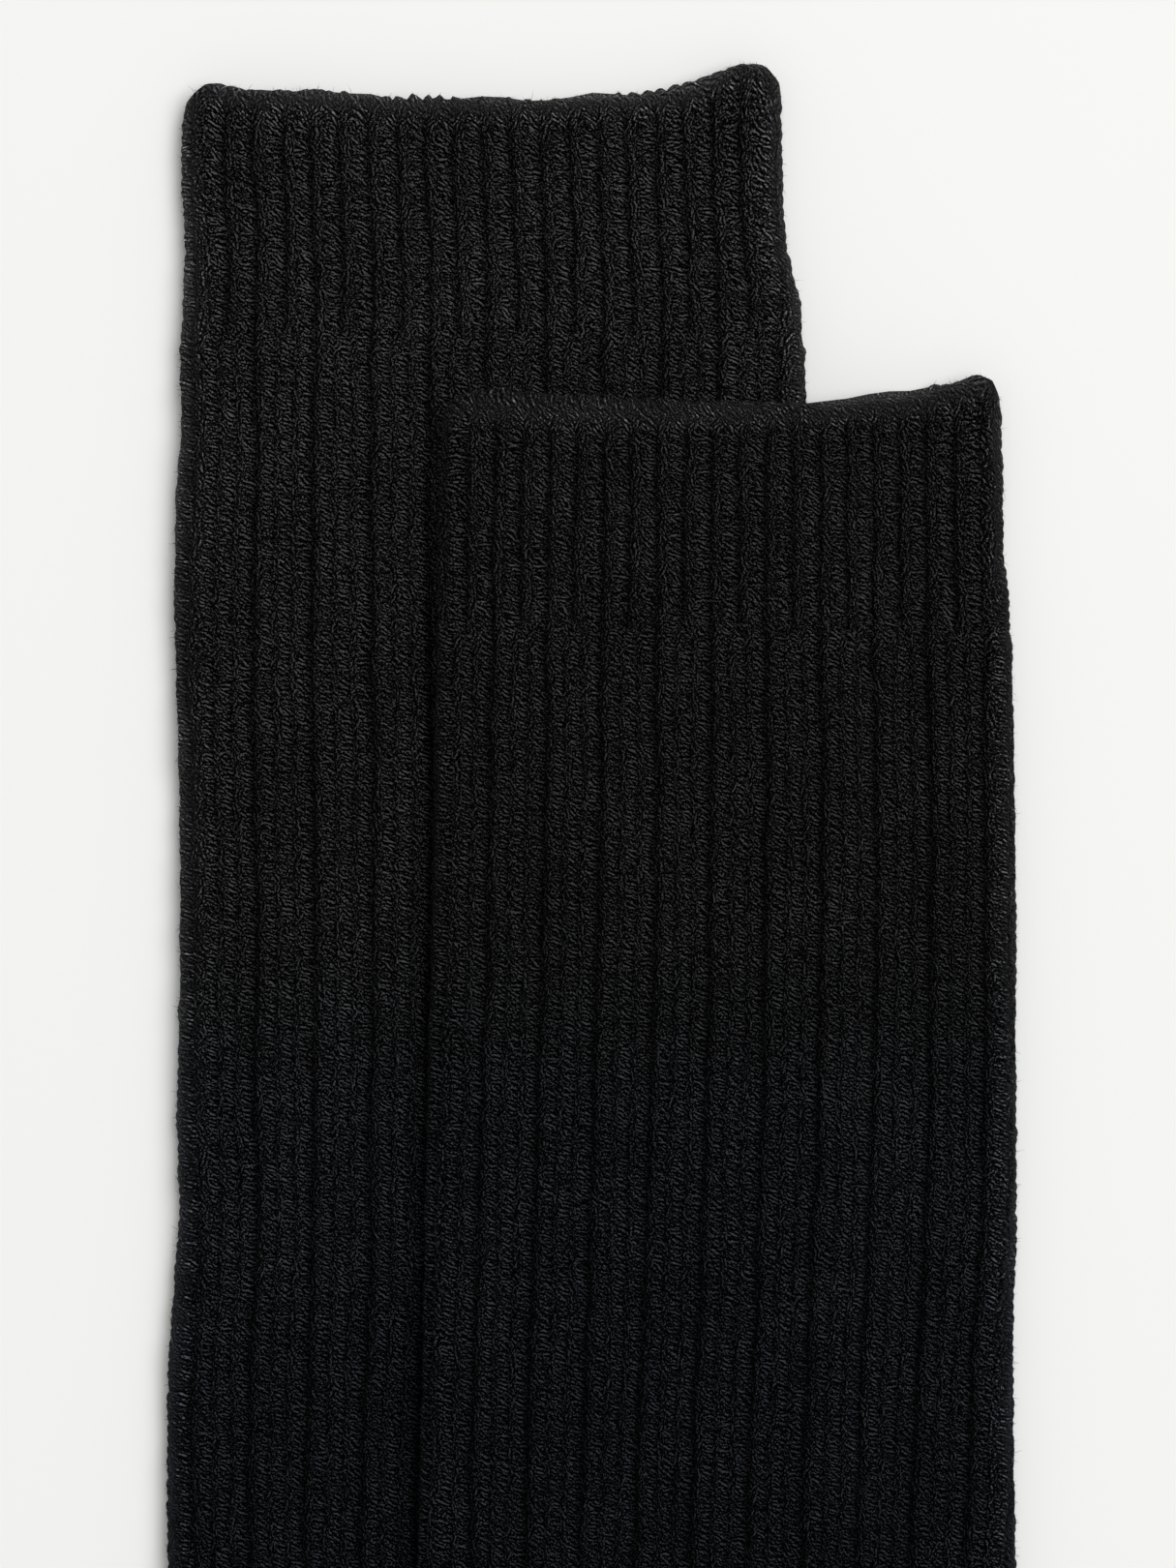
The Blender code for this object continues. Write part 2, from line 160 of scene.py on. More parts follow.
OVER_SOCK = Sock(
    name="over",
    place=(33.0, -43.0),
    seed=12,
    side_rib=4.0,
    brightness=1.38,
    legs=(
        LegRow(0.0, -39.8, 40.1, -0.95, 10.32),
        LegRow(12.0, -40.3, 40.4, -0.95, 10.32),
        LegRow(23.4, -40.6, 40.5, -0.95, 10.33),
        LegRow(30.1, -40.8, 41.6, -0.95, 10.42),
        LegRow(34.6, -40.9, 41.7, -0.96, 10.46),
        LegRow(58.3, -41.1, 42.2, -0.95, 10.44),
        LegRow(86.2, -41.7, 42.3, -0.92, 10.42),
        LegRow(114.1, -42.4, 42.3, -0.87, 10.41),
        LegRow(142.0, -42.9, 41.9, -0.85, 10.56),
        LegRow(166.0, -43.4, 42.3, -0.85, 10.74),
        LegRow(ANKLE, -44.2, 42.6, -0.85, 10.80),
    ),
    edge=(
        EdgeRow(0.000, -1.4, -1.4, 3.6),
        EdgeRow(0.020, 0.6, 0.4, 3.6),
        EdgeRow(0.080, 0.7, 0.5, 3.5),
        EdgeRow(0.180, 0.1, 0.0, 3.2),
        EdgeRow(0.300, -0.7, -0.8, 2.8),
        EdgeRow(0.550, -1.0, -0.9, 2.7),
        EdgeRow(0.700, -0.9, -0.5, 2.6),
        EdgeRow(0.770, 0.1, 0.8, 2.5),
        EdgeRow(0.870, 1.0, 1.8, 2.4),
        EdgeRow(0.900, 2.2, 2.3, 2.3),
        EdgeRow(0.950, 3.0, 3.0, 2.3),
        EdgeRow(0.975, 4.0, 4.0, 2.2),
        EdgeRow(0.988, 3.7, 3.7, 2.2),
        EdgeRow(1.000, 1.2, 1.2, 2.2),
    ),
    creases=(
        Crease(-31.0, -244.0, 212.0, 48.0, 6.0, -0.45),
        Crease(-28.0, -257.0, 236.0, 46.0, 6.0, 0.80),
        Crease(-20.0, -270.0, 262.0, 38.0, 5.0, -0.35),
        Crease(16.0, -284.0, 318.0, 30.0, 7.0, 0.50),
        Crease(-70.0, -300.0, 105.0, 50.0, 9.0, 0.50),
        Crease(-110.0, -320.0, 130.0, 34.0, 7.0, -0.30),
        Crease(-8.0, -80.0, 276.0, 70.0, 11.0, 0.25),
        Crease(22.0, -140.0, 264.0, 60.0, 9.0, -0.20),
        Crease(-26.0, -200.0, 272.0, 60.0, 10.0, 0.25),
    ),
)

Route = namedtuple("Route", "down front back rib_at_front ribs_across heel foot toe tip")


def arc(centre, radius, turn, steps=48):
    """Points on an arc that starts due +X of its centre and turns clockwise."""
    angles = np.linspace(0.0, turn, steps + 1)
    return centre + radius * np.column_stack([np.cos(angles), -np.sin(angles)])


def points_on(route, shares):
    """The points at these shares of a route's length."""
    lengths = np.linalg.norm(np.diff(route, axis=0), axis=1)
    places = np.concatenate([[0.0], np.cumsum(lengths)]) / lengths.sum()
    return np.column_stack([np.interp(shares, places, route[:, i]) for i in (0, 1)])


def length_of(route):
    return float(np.linalg.norm(np.diff(route, axis=0), axis=1).sum())


def eased(values, reach):
    """Values one millimetre apart, averaged over a smooth window."""
    window = np.hanning(2 * round(reach) + 3)[1:-1]
    padded = np.pad(values, len(window) // 2, mode="reflect", reflect_type="odd")
    return np.convolve(padded, window / window.sum(), mode="valid")


def route_of(sock):
    """Both folds of a sock, from the cuff's edge to the tip of the toe."""
    heights = [row.down for row in sock.legs]
    down = np.arange(0.0, ANKLE + 0.5)
    columns = [np.interp(down, heights, column) for column in zip(*sock.legs, strict=True)]
    _, front_x, back_x, rib_at_front, ribs_across = columns
    front_x, back_x = eased(front_x, OUTLINE_EASE), eased(back_x, OUTLINE_EASE)
    front = [np.column_stack([front_x, -down])]
    back = [np.column_stack([back_x, -down])]

    ankle = sock.legs[-1]
    width = ankle.back - ankle.front
    along = np.array([-math.sin(FOOT_TURN), -math.cos(FOOT_TURN)])
    to_sole = np.array([math.cos(FOOT_TURN), -math.sin(FOOT_TURN)])
    centre = np.array([ankle.front - INSTEP_RADIUS, -ANKLE])
    front_bend = arc(centre, INSTEP_RADIUS, FOOT_TURN)
    instep = front_bend[-1]
    sole = instep + width * to_sole
    # The heel's arc touches the back of the leg and the line of the sole.
    heel_x = ankle.back - HEEL_RADIUS
    heel_drop = (HEEL_RADIUS + (heel_x - sole[0]) * to_sole[0]) / -to_sole[1]
    heel_centre = np.array([heel_x, sole[1] + heel_drop])
    heel = arc(heel_centre, HEEL_RADIUS, FOOT_TURN)
    back_bend = np.vstack([[ankle.back, -ANKLE], heel, sole])
    bend_run = (length_of(front_bend) + length_of(back_bend)) / 2
    shares = np.linspace(0.0, 1.0, BEND_STEPS + 1)[1:]
    front.append(points_on(front_bend, shares))
    back.append(points_on(back_bend, shares))
    down = [down, ANKLE + shares * bend_run]

    heel_behind = HEEL_RADIUS - (heel_centre - instep) @ along
    foot_run = FOOT_LENGTH - TOE_LENGTH - heel_behind
    steps = np.linspace(0.0, 1.0, FOOT_STEPS + 1)[1:, None]
    taper = BALL_TAPER * ease(steps)
    front.append(instep + steps * foot_run * along)
    back.append(sole + steps * foot_run * along - taper * to_sole)
    toe_start = ANKLE + bend_run + foot_run
    down.append(ANKLE + bend_run + steps[:, 0] * foot_run)

    toe_front, toe_back = front[-1][-1], back[-1][-1]
    middle, half = (toe_front + toe_back) / 2, (toe_back - toe_front) / 2
    shares = np.sin(np.linspace(0.0, math.pi / 2, TOE_STEPS + 1))[1:, None]
    narrowing = (1 - shares**TOE_BLUNTNESS) ** (1 / TOE_BLUNTNESS)
    centres = middle + shares * TOE_LENGTH * along
    front.append(centres - narrowing * half)
    back.append(centres + narrowing * half)
    down.append(toe_start + shares[:, 0] * TOE_LENGTH)

    down = np.concatenate(down)
    kept = len(down) - len(rib_at_front)
    return Route(
        down=down,
        front=np.vstack(front),
        back=np.vstack(back),
        rib_at_front=np.pad(rib_at_front, (0, kept), mode="edge"),
        ribs_across=np.pad(ribs_across, (0, kept), mode="edge"),
        heel=ANKLE + HEEL_START * bend_run,
        foot=ANKLE + bend_run,
        toe=toe_start,
        tip=toe_start + TOE_LENGTH,
    )


def at(route, down, column):
    """One column of a route at any distances down the tube."""
    values = getattr(route, column)
    if values.ndim == 1:
        return np.interp(down, route.down, values)
    return np.stack([np.interp(down, route.down, values[:, i]) for i in (0, 1)], axis=-1)


def ease(share):
    """From 0 to 1 with no corners at either end."""
    share = np.clip(share, 0.0, 1.0)
    return share * share * (3 - 2 * share)


# Each unevenness of the cloth has random numbers of its own.  Most is the furthest it goes, and
# the steps are from one number to the next, in leg ribs around the tube and in millimetres down.
Unevenness = namedtuple("Unevenness", "number most rib_step down_step")
FURROW_BENDS = Unevenness(0, 1.0, 0.5, 9.0)
FURROW_KINKS = Unevenness(1, 0.5, 0.25, 3.1)
STITCH_SHIFT = Unevenness(2, 0.028, 0.125, COURSE)  # in leg ribs
STITCH_BULK = Unevenness(3, 0.10, 0.125, COURSE)
SWELL = Unevenness(4, 0.05, 1.0, 14.0)
STITCH_TILT = Unevenness(5, 0.12, 0.125, 2 * COURSE)  # in courses
EDGE_BUMPS = Unevenness(7, 0.25, 0.125, COURSE)
KNIT_STRAY = Unevenness(8, 1.2, 1.0, 9.0)
SCALLOP_SIZE = Unevenness(9, 0.5, 1.0, COURSE)
LATTICE_LENGTH = 640.0  # more than any sock's tube
LATTICE_START = 2  # rows of numbers above the cuff's edge


def unevenness(sock, kind, ribs, down):
    """Smooth random values that meet up around the tube."""
    columns = round(AROUND / kind.rib_step)
    rng = np.random.default_rng(sock.seed * 100 + kind.number)
    lattice = rng.uniform(-1, 1, (round(LATTICE_LENGTH / kind.down_step), columns))
    column = ribs / kind.rib_step
    row = down / kind.down_step + LATTICE_START
    left, top = np.floor(column).astype(int), np.floor(row).astype(int)
    across, below = ease(column - left), ease(row - top)
    left, right = left % columns, (left + 1) % columns
    upper = lattice[top, left] * (1 - across) + lattice[top, right] * across
    lower = lattice[top + 1, left] * (1 - across) + lattice[top + 1, right] * across
    return kind.most * (upper * (1 - below) + lower * below)


def share_around(route, ribs, down):
    """Whether a place is on the upper layer, and its share of the way from fold to fold."""
    ribs_across = at(route, down, "ribs_across")
    from_front = (ribs - at(route, down, "rib_at_front")) % AROUND
    above = from_front <= ribs_across
    back_share = (AROUND - from_front) / (AROUND - ribs_across)
    return above, np.where(above, from_front / ribs_across, back_share)


def creased(sock, points, weight):
    """Raises points by the sock's creases, soft ridges and troughs in the upper layer."""
    for crease in sock.creases:
        heading = math.radians(crease.heading)
        run = np.array([math.cos(heading), math.sin(heading)])
        away = points[..., :2] - np.array([crease.x, crease.y])
        along = away @ run / crease.length
        aside = away @ np.array([-run[1], run[0]]) / crease.width + CREASE_LEAN * along**2
        fading = np.clip(1 - (2 * along - 1) ** 2, 0, 1) ** CREASE_FADE
        points[..., 2] += weight * crease.rise * fading * np.exp(-(aside**2))
    return points


def lifted(sock, share, down, is_upper):
    """How far the cuff's uneven edge lifts a place up the page."""
    shares = [row.across for row in sock.edge]
    upper = np.interp(share, shares, [row.upper for row in sock.edge])
    lower = np.interp(share, shares, [row.lower for row in sock.edge])
    return np.where(is_upper, upper, lower) * np.clip(1 - down / EDGE_REACH, 0, 1) ** 2


def laid(sock, route, down, across, up, is_upper):
    """Points from their distance across the tube and up, on the sock's own route."""
    front, back = at(route, down, "front"), at(route, down, "back")
    side = back - front
    share = across / np.linalg.norm(side, axis=-1)
    plan = front + share[..., None] * side
    plan[..., 1] += lifted(sock, np.clip(share, 0, 1), down, is_upper)
    points = np.concatenate([plan, up[..., None]], axis=-1)
    return creased(sock, points, ease(up / TUBE_HEIGHT))


def outside(sock, route, ribs, down, rise):
    """The tube's outside, where the cloth stands this far above its furrows."""
    down = np.minimum(down, route.tip - TIP_CLOSED)
    side = at(route, down, "back") - at(route, down, "front")
    width = np.linalg.norm(side, axis=-1)
    tip = 1 - np.clip((route.tip - down) / (TUBE_HEIGHT / 2), 0, 1)
    height = TUBE_HEIGHT * np.sqrt(1 - tip**2)
    loop = np.maximum(width - 2 * FOLD_INSET, height)
    radius = height / 2
    # The cloth is stretched where it goes round a fold.
    corner = FOLD_CLOTH * radius
    half_round = loop - 2 * radius + 2 * corner
    above, share = share_around(route, ribs, down)
    run = share * half_round
    at_front = np.clip(run / corner, 0, 1) * math.pi / 2
    at_back = np.clip((run - half_round) / corner + 1, 0, 1) * math.pi / 2
    flat = np.clip(run - corner, 0, loop - 2 * radius)
    across = radius * (1 - np.cos(at_front)) + flat + radius * np.sin(at_back)
    out_across = np.sin(at_back) - np.cos(at_front)
    out_up = np.where(run < half_round / 2, np.sin(at_front), np.cos(at_back))
    out_up = np.where(above, out_up, -out_up)
    rise = rise * np.clip(1 + out_up, 0, 1)
    up = TUBE_HEIGHT / 2 + (radius + rise) * out_up
    return laid(sock, route, down, across + FOLD_INSET + rise * out_across, up, out_up > 0)


def inside(sock, route, ribs, down):
    """The tube's plain inside, two layers a small gap apart."""
    side = at(route, down, "back") - at(route, down, "front")
    width = np.linalg.norm(side, axis=-1)
    above, share = share_around(route, ribs, down)
    fold = LOWER_WALL + FOLD_INSET
    across = fold + share * (width - 2 * fold)
    up = np.where(above, LOWER_WALL + LAYER_GAP, LOWER_WALL) + 0 * across
    # The inside is creased as far as the outside of its layer is.
    skin = np.where(above, TUBE_HEIGHT, 0.0)
    points = laid(sock, route, down, across, skin, above)
    points[..., 2] += up - skin
    return points


# How stitches lie across one leg rib, from furrow to furrow.  A stitch is a V with its point
# up, because the tube is knitted downwards: drop is how far its legs have come down at each
# column, in rows.  Rise is the height above the furrow, and dip is how much lower it gets
# where one stitch passes behind the next.
Column = namedtuple("Column", "share rise dip drop")
CUFF_RIB = (
    Column(0.000, -0.40, 0.03, 0.55),
    Column(0.075, 0.24, 0.26, 0.50),
    Column(0.160, 0.82, 0.32, 0.38),
    Column(0.290, 0.94, 0.30, 0.20),
    Column(0.450, 0.42, 0.12, 0.00),
    Column(0.610, 1.02, 0.34, 0.16),
    Column(0.790, 1.02, 0.38, 0.34),
    Column(0.915, 0.30, 0.30, 0.50),
)
CUFF_KNIT = tuple(
    Column((rib + c.share) / 2, c.rise, c.dip, c.drop) for rib in (0, 1) for c in CUFF_RIB
)
LEG_KNIT = (
    Column(0.000, -0.50, 0.03, 0.95),
    Column(0.048, 0.16, 0.26, 0.90),
    Column(0.098, 0.90, 0.33, 0.62),
    Column(0.170, 0.74, 0.22, 0.00),
    Column(0.240, 1.04, 0.39, 0.40),
    Column(0.305, 0.92, 0.36, 0.74),
    Column(0.352, 0.05, 0.12, 0.98),
    Column(0.396, 1.02, 0.34, 0.60),
    Column(0.475, 0.84, 0.22, 0.00),
    Column(0.548, 1.10, 0.39, 0.40),
    Column(0.612, 0.94, 0.36, 0.74),
    Column(0.660, 0.05, 0.12, 0.98),
    Column(0.706, 1.00, 0.34, 0.60),
    Column(0.790, 0.82, 0.22, 0.00),
    Column(0.875, 1.00, 0.40, 0.46),
    Column(0.950, 0.26, 0.36, 0.88),
)
PLAIN_WALE = (
    Column(0.000, 0.20, 0.10, 0.98),
    Column(0.280, 0.58, 0.27, 0.45),
    Column(0.450, 0.40, 0.17, 0.00),
    Column(0.740, 0.62, 0.30, 0.48),
)
PLAIN_KNIT = tuple(
    Column((wale + c.share) / WALES_PER_RIB, c.rise, c.dip, c.drop)
    for wale in range(WALES_PER_RIB)
    for c in PLAIN_WALE
)
COLUMNS = len(LEG_KNIT)
PAST_FOLD = 0.55  # leg ribs that are still drawn finely below each fold
LOWER_COLUMNS = 20  # across the rest of the lower layer, which lies flat
KNIT_CHANGE = 3.4  # over this length one knit gives way to the next
SIDE_CHANGE = 0.25  # and over this many leg ribs the instep's gives way to the sole's
WANDER = 0.030  # leg ribs, how far a furrow strays to either side
FULL_WIDTH = 80.0  # where the tube is narrower, its stitches are shallower
# How far one course of stitches stands out, from its top to its bottom.
COURSE_PROFILE = ((0.0, 0.0), (1 / 3, 1.0), (2 / 3, 0.8), (1.0, 0.0))
EDGE_STRAIGHT = 3.0  # over this length down, the stitches come to their full slant

WELT_RISE = 0.72
WELT_END = 2.2  # over this length the welt gives way to the ribs
WELT_LEAD = 0.2  # starting this much above the place that the edge's table gives

Seam = namedtuple("Seam", "rise reach")
HEEL_GROOVE = Seam(-0.6, 0.8)  # where the heel's short rows join
HEEL_SIDES = Seam(0.5, 0.9)  # the low ridges on both sides of that groove
HEEL_SIDES_AWAY = 1.6
TOE_RIDGE = Seam(0.7, 0.9)  # where the toe is linked shut
TOE_GROOVE = Seam(-0.45, 0.1)  # down the toe's sides; its reach is in leg ribs
TOE_GROOVE_START = 6.0

FUZZY_FOLD = 5.0  # how far in from a fold the fibres are raised
FUZZY_EDGE = 3.6  # and how far down from the cuff's edge
FUZZY_EDGE_START = 1.2
FOLD_FUZZ = 0.95
FOLD_DIP = 0.5  # the stitches' dips are this much shallower on a fold
FOLD_FILL = 0.8  # how far raised fibres fill the furrow nearest a fold
FOLD_LEVEL = 0.5  # up to this height
RIM_REACH = 1.05  # how fast the painted rim light fades, in from the sock's outline
EDGE_RIM = 1.0  # how strong the painted rim light is on the outline: at the cuff's edge
FRONT_RIM = 1.2  # and at the two folds
BACK_RIM = 0.8
MOST_FUZZ = 2.0  # the most of raised fibres and painted rim light, where a fold's and the edge's meet
CLEAR_OVER = 3.0  # over this width the over sock comes clear of the under sock

Fabric = namedtuple("Fabric", "ribs drop rise dip welt")
Rings = namedtuple("Rings", "points places crowns fuzz")


def column_places(sock):
    """Numbers of the fine columns of the upper layer, counted from the first furrow."""
    first = min(row.rib_at_front for row in sock.legs) - PAST_FOLD
    last = max(row.rib_at_front + row.ribs_across for row in sock.legs) + PAST_FOLD
    return np.arange(math.floor(first * COLUMNS), math.ceil(last * COLUMNS) + 1)


def seam_rise(seam, away):
    """How far a seam raises the cloth at this distance from it, less than 0 for a groove."""
    return seam.rise * np.exp(-((away / seam.reach) ** 2))


def fabric_of(sock, route, down):
    """Places, drops, rises and dips of all columns, for rows at these distances down."""
    fine = column_places(sock)
    rib, kind = np.divmod(fine, COLUMNS)
    below = np.linspace(fine[-1] / COLUMNS, fine[0] / COLUMNS + AROUND, LOWER_COLUMNS + 2)
    down = down[:, None]

    def table(knit, name):
        values = np.array([getattr(column, name) for column in knit])[kind]
        if name == "share":
            return np.concatenate([rib + values, below[1:-1]])
        return np.concatenate([values, np.full(LOWER_COLUMNS, np.mean(values))])

    places = table(LEG_KNIT, "share")
    late = unevenness(sock, KNIT_STRAY, places, 0 * places)
    to_leg = ease((down - CUFF_LENGTH - late) / KNIT_CHANGE + 0.5)
    on_sole = ease((places[None, :] - sock.side_rib) / SIDE_CHANGE + 0.5)
    to_plain = ease((down - route.heel) / KNIT_CHANGE + 0.5) * on_sole
    to_plain = np.maximum(to_plain, ease((down - route.toe) / KNIT_CHANGE + 0.5))

    def knitted(name):
        ribbed = table(CUFF_KNIT, name) * (1 - to_leg) + table(LEG_KNIT, name) * to_leg
        return ribbed * (1 - to_plain) + table(PLAIN_KNIT, name) * to_plain

    ribs = knitted("share")
    past_heel = down - (route.heel + route.foot) / 2
    heel_sides = seam_rise(HEEL_SIDES, np.abs(past_heel) - HEEL_SIDES_AWAY)
    heel = (heel_sides + seam_rise(HEEL_GROOVE, past_heel)) * on_sole
    toe = seam_rise(TOE_RIDGE, down - route.tip + TOE_SEAM) * (1 - on_sole)
    toe_sides = seam_rise(TOE_GROOVE, places - sock.side_rib)
    toe_sides = toe_sides * ease((down - route.toe) / TOE_GROOVE_START)
    _, share = share_around(route, ribs, down + 0 * ribs)
    shares = [row.across for row in sock.edge]
    welt = np.interp(share, shares, [row.welt for row in sock.edge])
    welt = 1 - ease((down - welt + WELT_LEAD) / WELT_END)
    rise = knitted("rise") * (1 - welt) + WELT_RISE * welt + heel + toe + toe_sides
    return Fabric(ribs, knitted("drop") * (1 - welt), rise, knitted("dip") * (1 - welt), welt)


def rim_at(inward):
    """How strong the painted rim light is this far in from the sock's outline."""
    return np.exp(-inward / RIM_REACH)


def clearance(sock, points):
    """From 0 where points lie over the under sock to 1 where they lie clear of it."""
    if sock is UNDER_SOCK:
        return 1.0
    past = points[..., 0] + sock.place[0] - UNDER_SOCK.legs[-1].back
    return ease(past / CLEAR_OVER)


def knitted_rows(sock, route, down, course):
    """Outside points for rows of stitches, with the number of the course each belongs to."""
    fabric = fabric_of(sock, route, down)
    phase = course % 1
    down = down[:, None] + 0 * fabric.ribs
    ribs_across = at(route, down, "ribs_across")
    past_front = at(route, down, "rib_at_front") - fabric.ribs
    past_back = -past_front - ribs_across
    past = np.maximum(np.maximum(past_front, past_back), 0)
    past = np.minimum(past, AROUND - ribs_across)
    finely = ease(1 - past / PAST_FOLD)
    kinds = (FURROW_BENDS, FURROW_KINKS, STITCH_SHIFT, STITCH_BULK, SWELL, STITCH_TILT)
    uneven = [unevenness(sock, kind, fabric.ribs, down) for kind in kinds]
    bends, kinks, shift, bulk, swell, tilt = uneven
    ribs = fabric.ribs + (WANDER * (bends + kinks) + shift) * finely
    crown = np.interp(phase, *zip(*COURSE_PROFILE, strict=True))[:, None]
    narrow = np.linalg.norm(at(route, down, "back") - at(route, down, "front"), axis=-1)
    narrow = np.clip(narrow / FULL_WIDTH, 0, 1)
    from_fold = np.minimum(-past_front, -past_back) * RIB_WIDTH
    on_fold = (1 - ease(from_fold / FUZZY_FOLD)) * finely
    rise = fabric.rise - fabric.dip * (1 - crown) * narrow * (1 - FOLD_DIP * on_fold)
    rise = rise + (bulk * (1 + on_fold) + swell) * finely
    rise = rise + FOLD_FILL * on_fold * np.clip(FOLD_LEVEL - rise, 0, 1)
    drop = (fabric.drop + tilt * (1 - fabric.welt)) * COURSE * finely
    slant = ease(down / EDGE_STRAIGHT)
    placed = outside(sock, route, ribs, down + drop * slant, rise)
    stretch = 0.0
    for past_here in (-past_front, past_back):
        stretch = stretch + np.clip(past_here * RIB_WIDTH / FOLD_RUN, -1, 1) * FOLD_STRETCH
    spots = np.stack([ribs * RIB_WIDTH + stretch, -down - drop * slant], axis=-1)
    spots = np.concatenate([spots, course[:, None, None] + 0 * spots[..., :1]], axis=-1)
    # Raised fibres show along the edge and the folds, where white paper lies behind them; there
    # the yarn is painted lighter, a painted halo, and the outline gets a painted rim light.
    # Where the over sock lies on the under sock, the rim light and the folds' fibres are left
    # out.
    on_edge = 1 - ease((down - FUZZY_EDGE_START) / FUZZY_EDGE)
    turned = np.clip(from_fold / FOLD_RUN, -1, 1) * math.pi / 2
    beyond = np.maximum(np.abs(from_fold) - FOLD_RUN, 0)
    inward = TUBE_HEIGHT / 2 * (1 - np.cos(turned)) + beyond
    clear = clearance(sock, placed)
    fold_rim = np.where(past_back > past_front, BACK_RIM, FRONT_RIM) * rim_at(inward) * finely
    rim = np.maximum(fold_rim, EDGE_RIM * rim_at(down)) * clear
    fuzz = np.maximum(np.maximum(fabric.welt, on_edge), FOLD_FUZZ * on_fold * clear)
    return Rings(placed, spots, rise, fuzz + rim), fabric.ribs


LIP = 1.3  # how far the welt's rounding reaches along the cloth
LIP_STEPS = 7
LIP_SPOTS = (0.3, 3.0)  # where its first and last row lie on the yarn's pattern
SCALLOP = 1.0  # how far each wale rounds out at the edge
SCALLOP_SUNK = 0.35
TUFTS = 0.15  # how far single loops stray
SUNK_LOOPS = 0.1  # the share of loops that are drawn in
SUNK_DEPTH = 0.4
SMOOTH_CORNER = 0.06  # share of the width at each fold without scallops


def rounded_edge(sock, route):
    """Rows that turn over the cuff's edge, from its outside to its inside, and round out a
    little at each wale."""
    angles = np.linspace(0.0, math.pi, LIP_STEPS + 2)[1:-1]
    knit, ribs = knitted_rows(sock, route, np.array([LIP]), np.array([0.0]))
    to_outline = LIP * (1 - np.sin(np.minimum(angles, math.pi / 2)))[:, None]
    clear = clearance(sock, knit.points)
    # The painted rim light grows towards the outline over the lip.
    fuzz = knit.fuzz + EDGE_RIM * (rim_at(to_outline) - rim_at(LIP)) * clear
    fuzz = np.minimum(fuzz, MOST_FUZZ)
    inner = inside(sock, route, ribs, LIP + 0 * ribs)[0]
    outer, rise = knit.points[0], knit.crowns[0]
    bumps = unevenness(sock, EDGE_BUMPS, ribs[0], 0 * ribs[0])
    rng = np.random.default_rng(sock.seed)
    tufts = rng.uniform(-TUFTS, TUFTS, len(rise))
    tufts = tufts - SUNK_DEPTH * (rng.random(len(rise)) < SUNK_LOOPS)
    size = 0.5 + unevenness(sock, SCALLOP_SIZE, ribs[0], 0 * ribs[0])
    scallop = SCALLOP * size * np.abs(np.cos(WALES_PER_RIB * math.pi * ribs[0]))
    scallop = scallop + bumps + tufts - SCALLOP_SUNK * SCALLOP
    _, share = share_around(route, ribs[0], 0.0)
    scallop = scallop * ease((0.5 - np.abs(share - 0.5)) / SMOOTH_CORNER)
    rows, rises = [], []
    for angle in angles:
        inward = (1 - math.cos(angle)) / 2
        row = outer * (1 - inward) + inner * inward
        row[:, 1] += (LIP + scallop) * math.sin(angle)
        rows.append(row)
        rises.append(rise * (1 - inward) + WELT_RISE * inward)
    places = knit.places + np.linspace(*LIP_SPOTS, LIP_STEPS)[:, None, None] * (0, 1, 0)
    return Rings(np.array(rows), places, np.array(rises), fuzz)


def outline_of(sock, route):
    """The sock's outline seen from above, with the cuff's uneven edge."""
    shares = np.array([row.across for row in sock.edge])
    rises = np.array([max(row.upper, row.lower) for row in sock.edge])
    edge = route.front[0] + shares[:, None] * (route.back[0] - route.front[0])
    edge[:, 1] += rises
    # Every fourth point of the folds is close enough.
    return np.concatenate([edge, route.back[4::4], route.front[4::4][::-1]])


def distance_outside(outline, points):
    """How far each point lies outside a closed outline, less than 0 inside it."""
    runs = np.roll(outline, -1, axis=0) - outline
    away = points[:, None, :] - outline[None, :, :]
    share = np.clip((away * runs).sum(2) / np.maximum((runs**2).sum(1), 1e-9), 0, 1)
    gaps = np.linalg.norm(away - share[..., None] * runs, axis=2).min(axis=1)
    crossed = (outline[None, :, 1] > points[:, None, 1]) != (
        (outline + runs)[None, :, 1] > points[:, None, 1]
    )
    # A level run is never crossed, so its slope is of no use.
    slope = runs[:, 0] / np.where(runs[:, 1] == 0, 1, runs[:, 1])
    crossing = outline[:, 0] + slope * (points[:, None, 1] - outline[:, 1])
    within = ((points[:, None, 0] < crossing) & crossed).sum(axis=1) % 2 == 1
    return np.where(within, -gaps, gaps)


def in_the_pair(sock, rows):
    """Rows moved to the sock's place, and laid over the sock below."""
    rows = rows.copy()
    rows[..., :2] += np.array(sock.place)
    if sock is OVER_SOCK:
        full = TUBE_HEIGHT + RIB_RISE + SOCK_GAP
        for row in rows:
            past = distance_outside(under_outline, row[:, :2])
            row[:, 2] += full * ease(1 - (past - DRAPE_START) / DRAPE_REACH)
    return rows


routes = {sock: route_of(sock) for sock in (UNDER_SOCK, OVER_SOCK)}
under_outline = outline_of(UNDER_SOCK, routes[UNDER_SOCK])
under_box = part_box("sock_under")
SOLID_REACH = (45.3, 5.3)  # the under sock's solid, from the middle of its cuff's edge
TO_FRAME = np.array([under_box[1].x, under_box[1].y, 0]) / METRES - (*SOLID_REACH, 0)

FIBRES_LEFT_LEG = math.radians(104)  # which way the twisted fibres lie in a stitch's legs
FIBRES_RIGHT_LEG = math.radians(157)
STRAYS = (1.3, 0.0)  # radians, how far a left and a right leg may stray from those directions
CUFF_STRAYS = (1.3, 0.7)  # the cuff is the more rubbed
WELT_COURSES = 2  # no single stitches show in the first of them
OWN_PLACES = 90.0  # how far apart on the yarn's pattern two stitches' own places may be
COURSE_SLACK = 0.01  # keeps the row that begins a course in that course


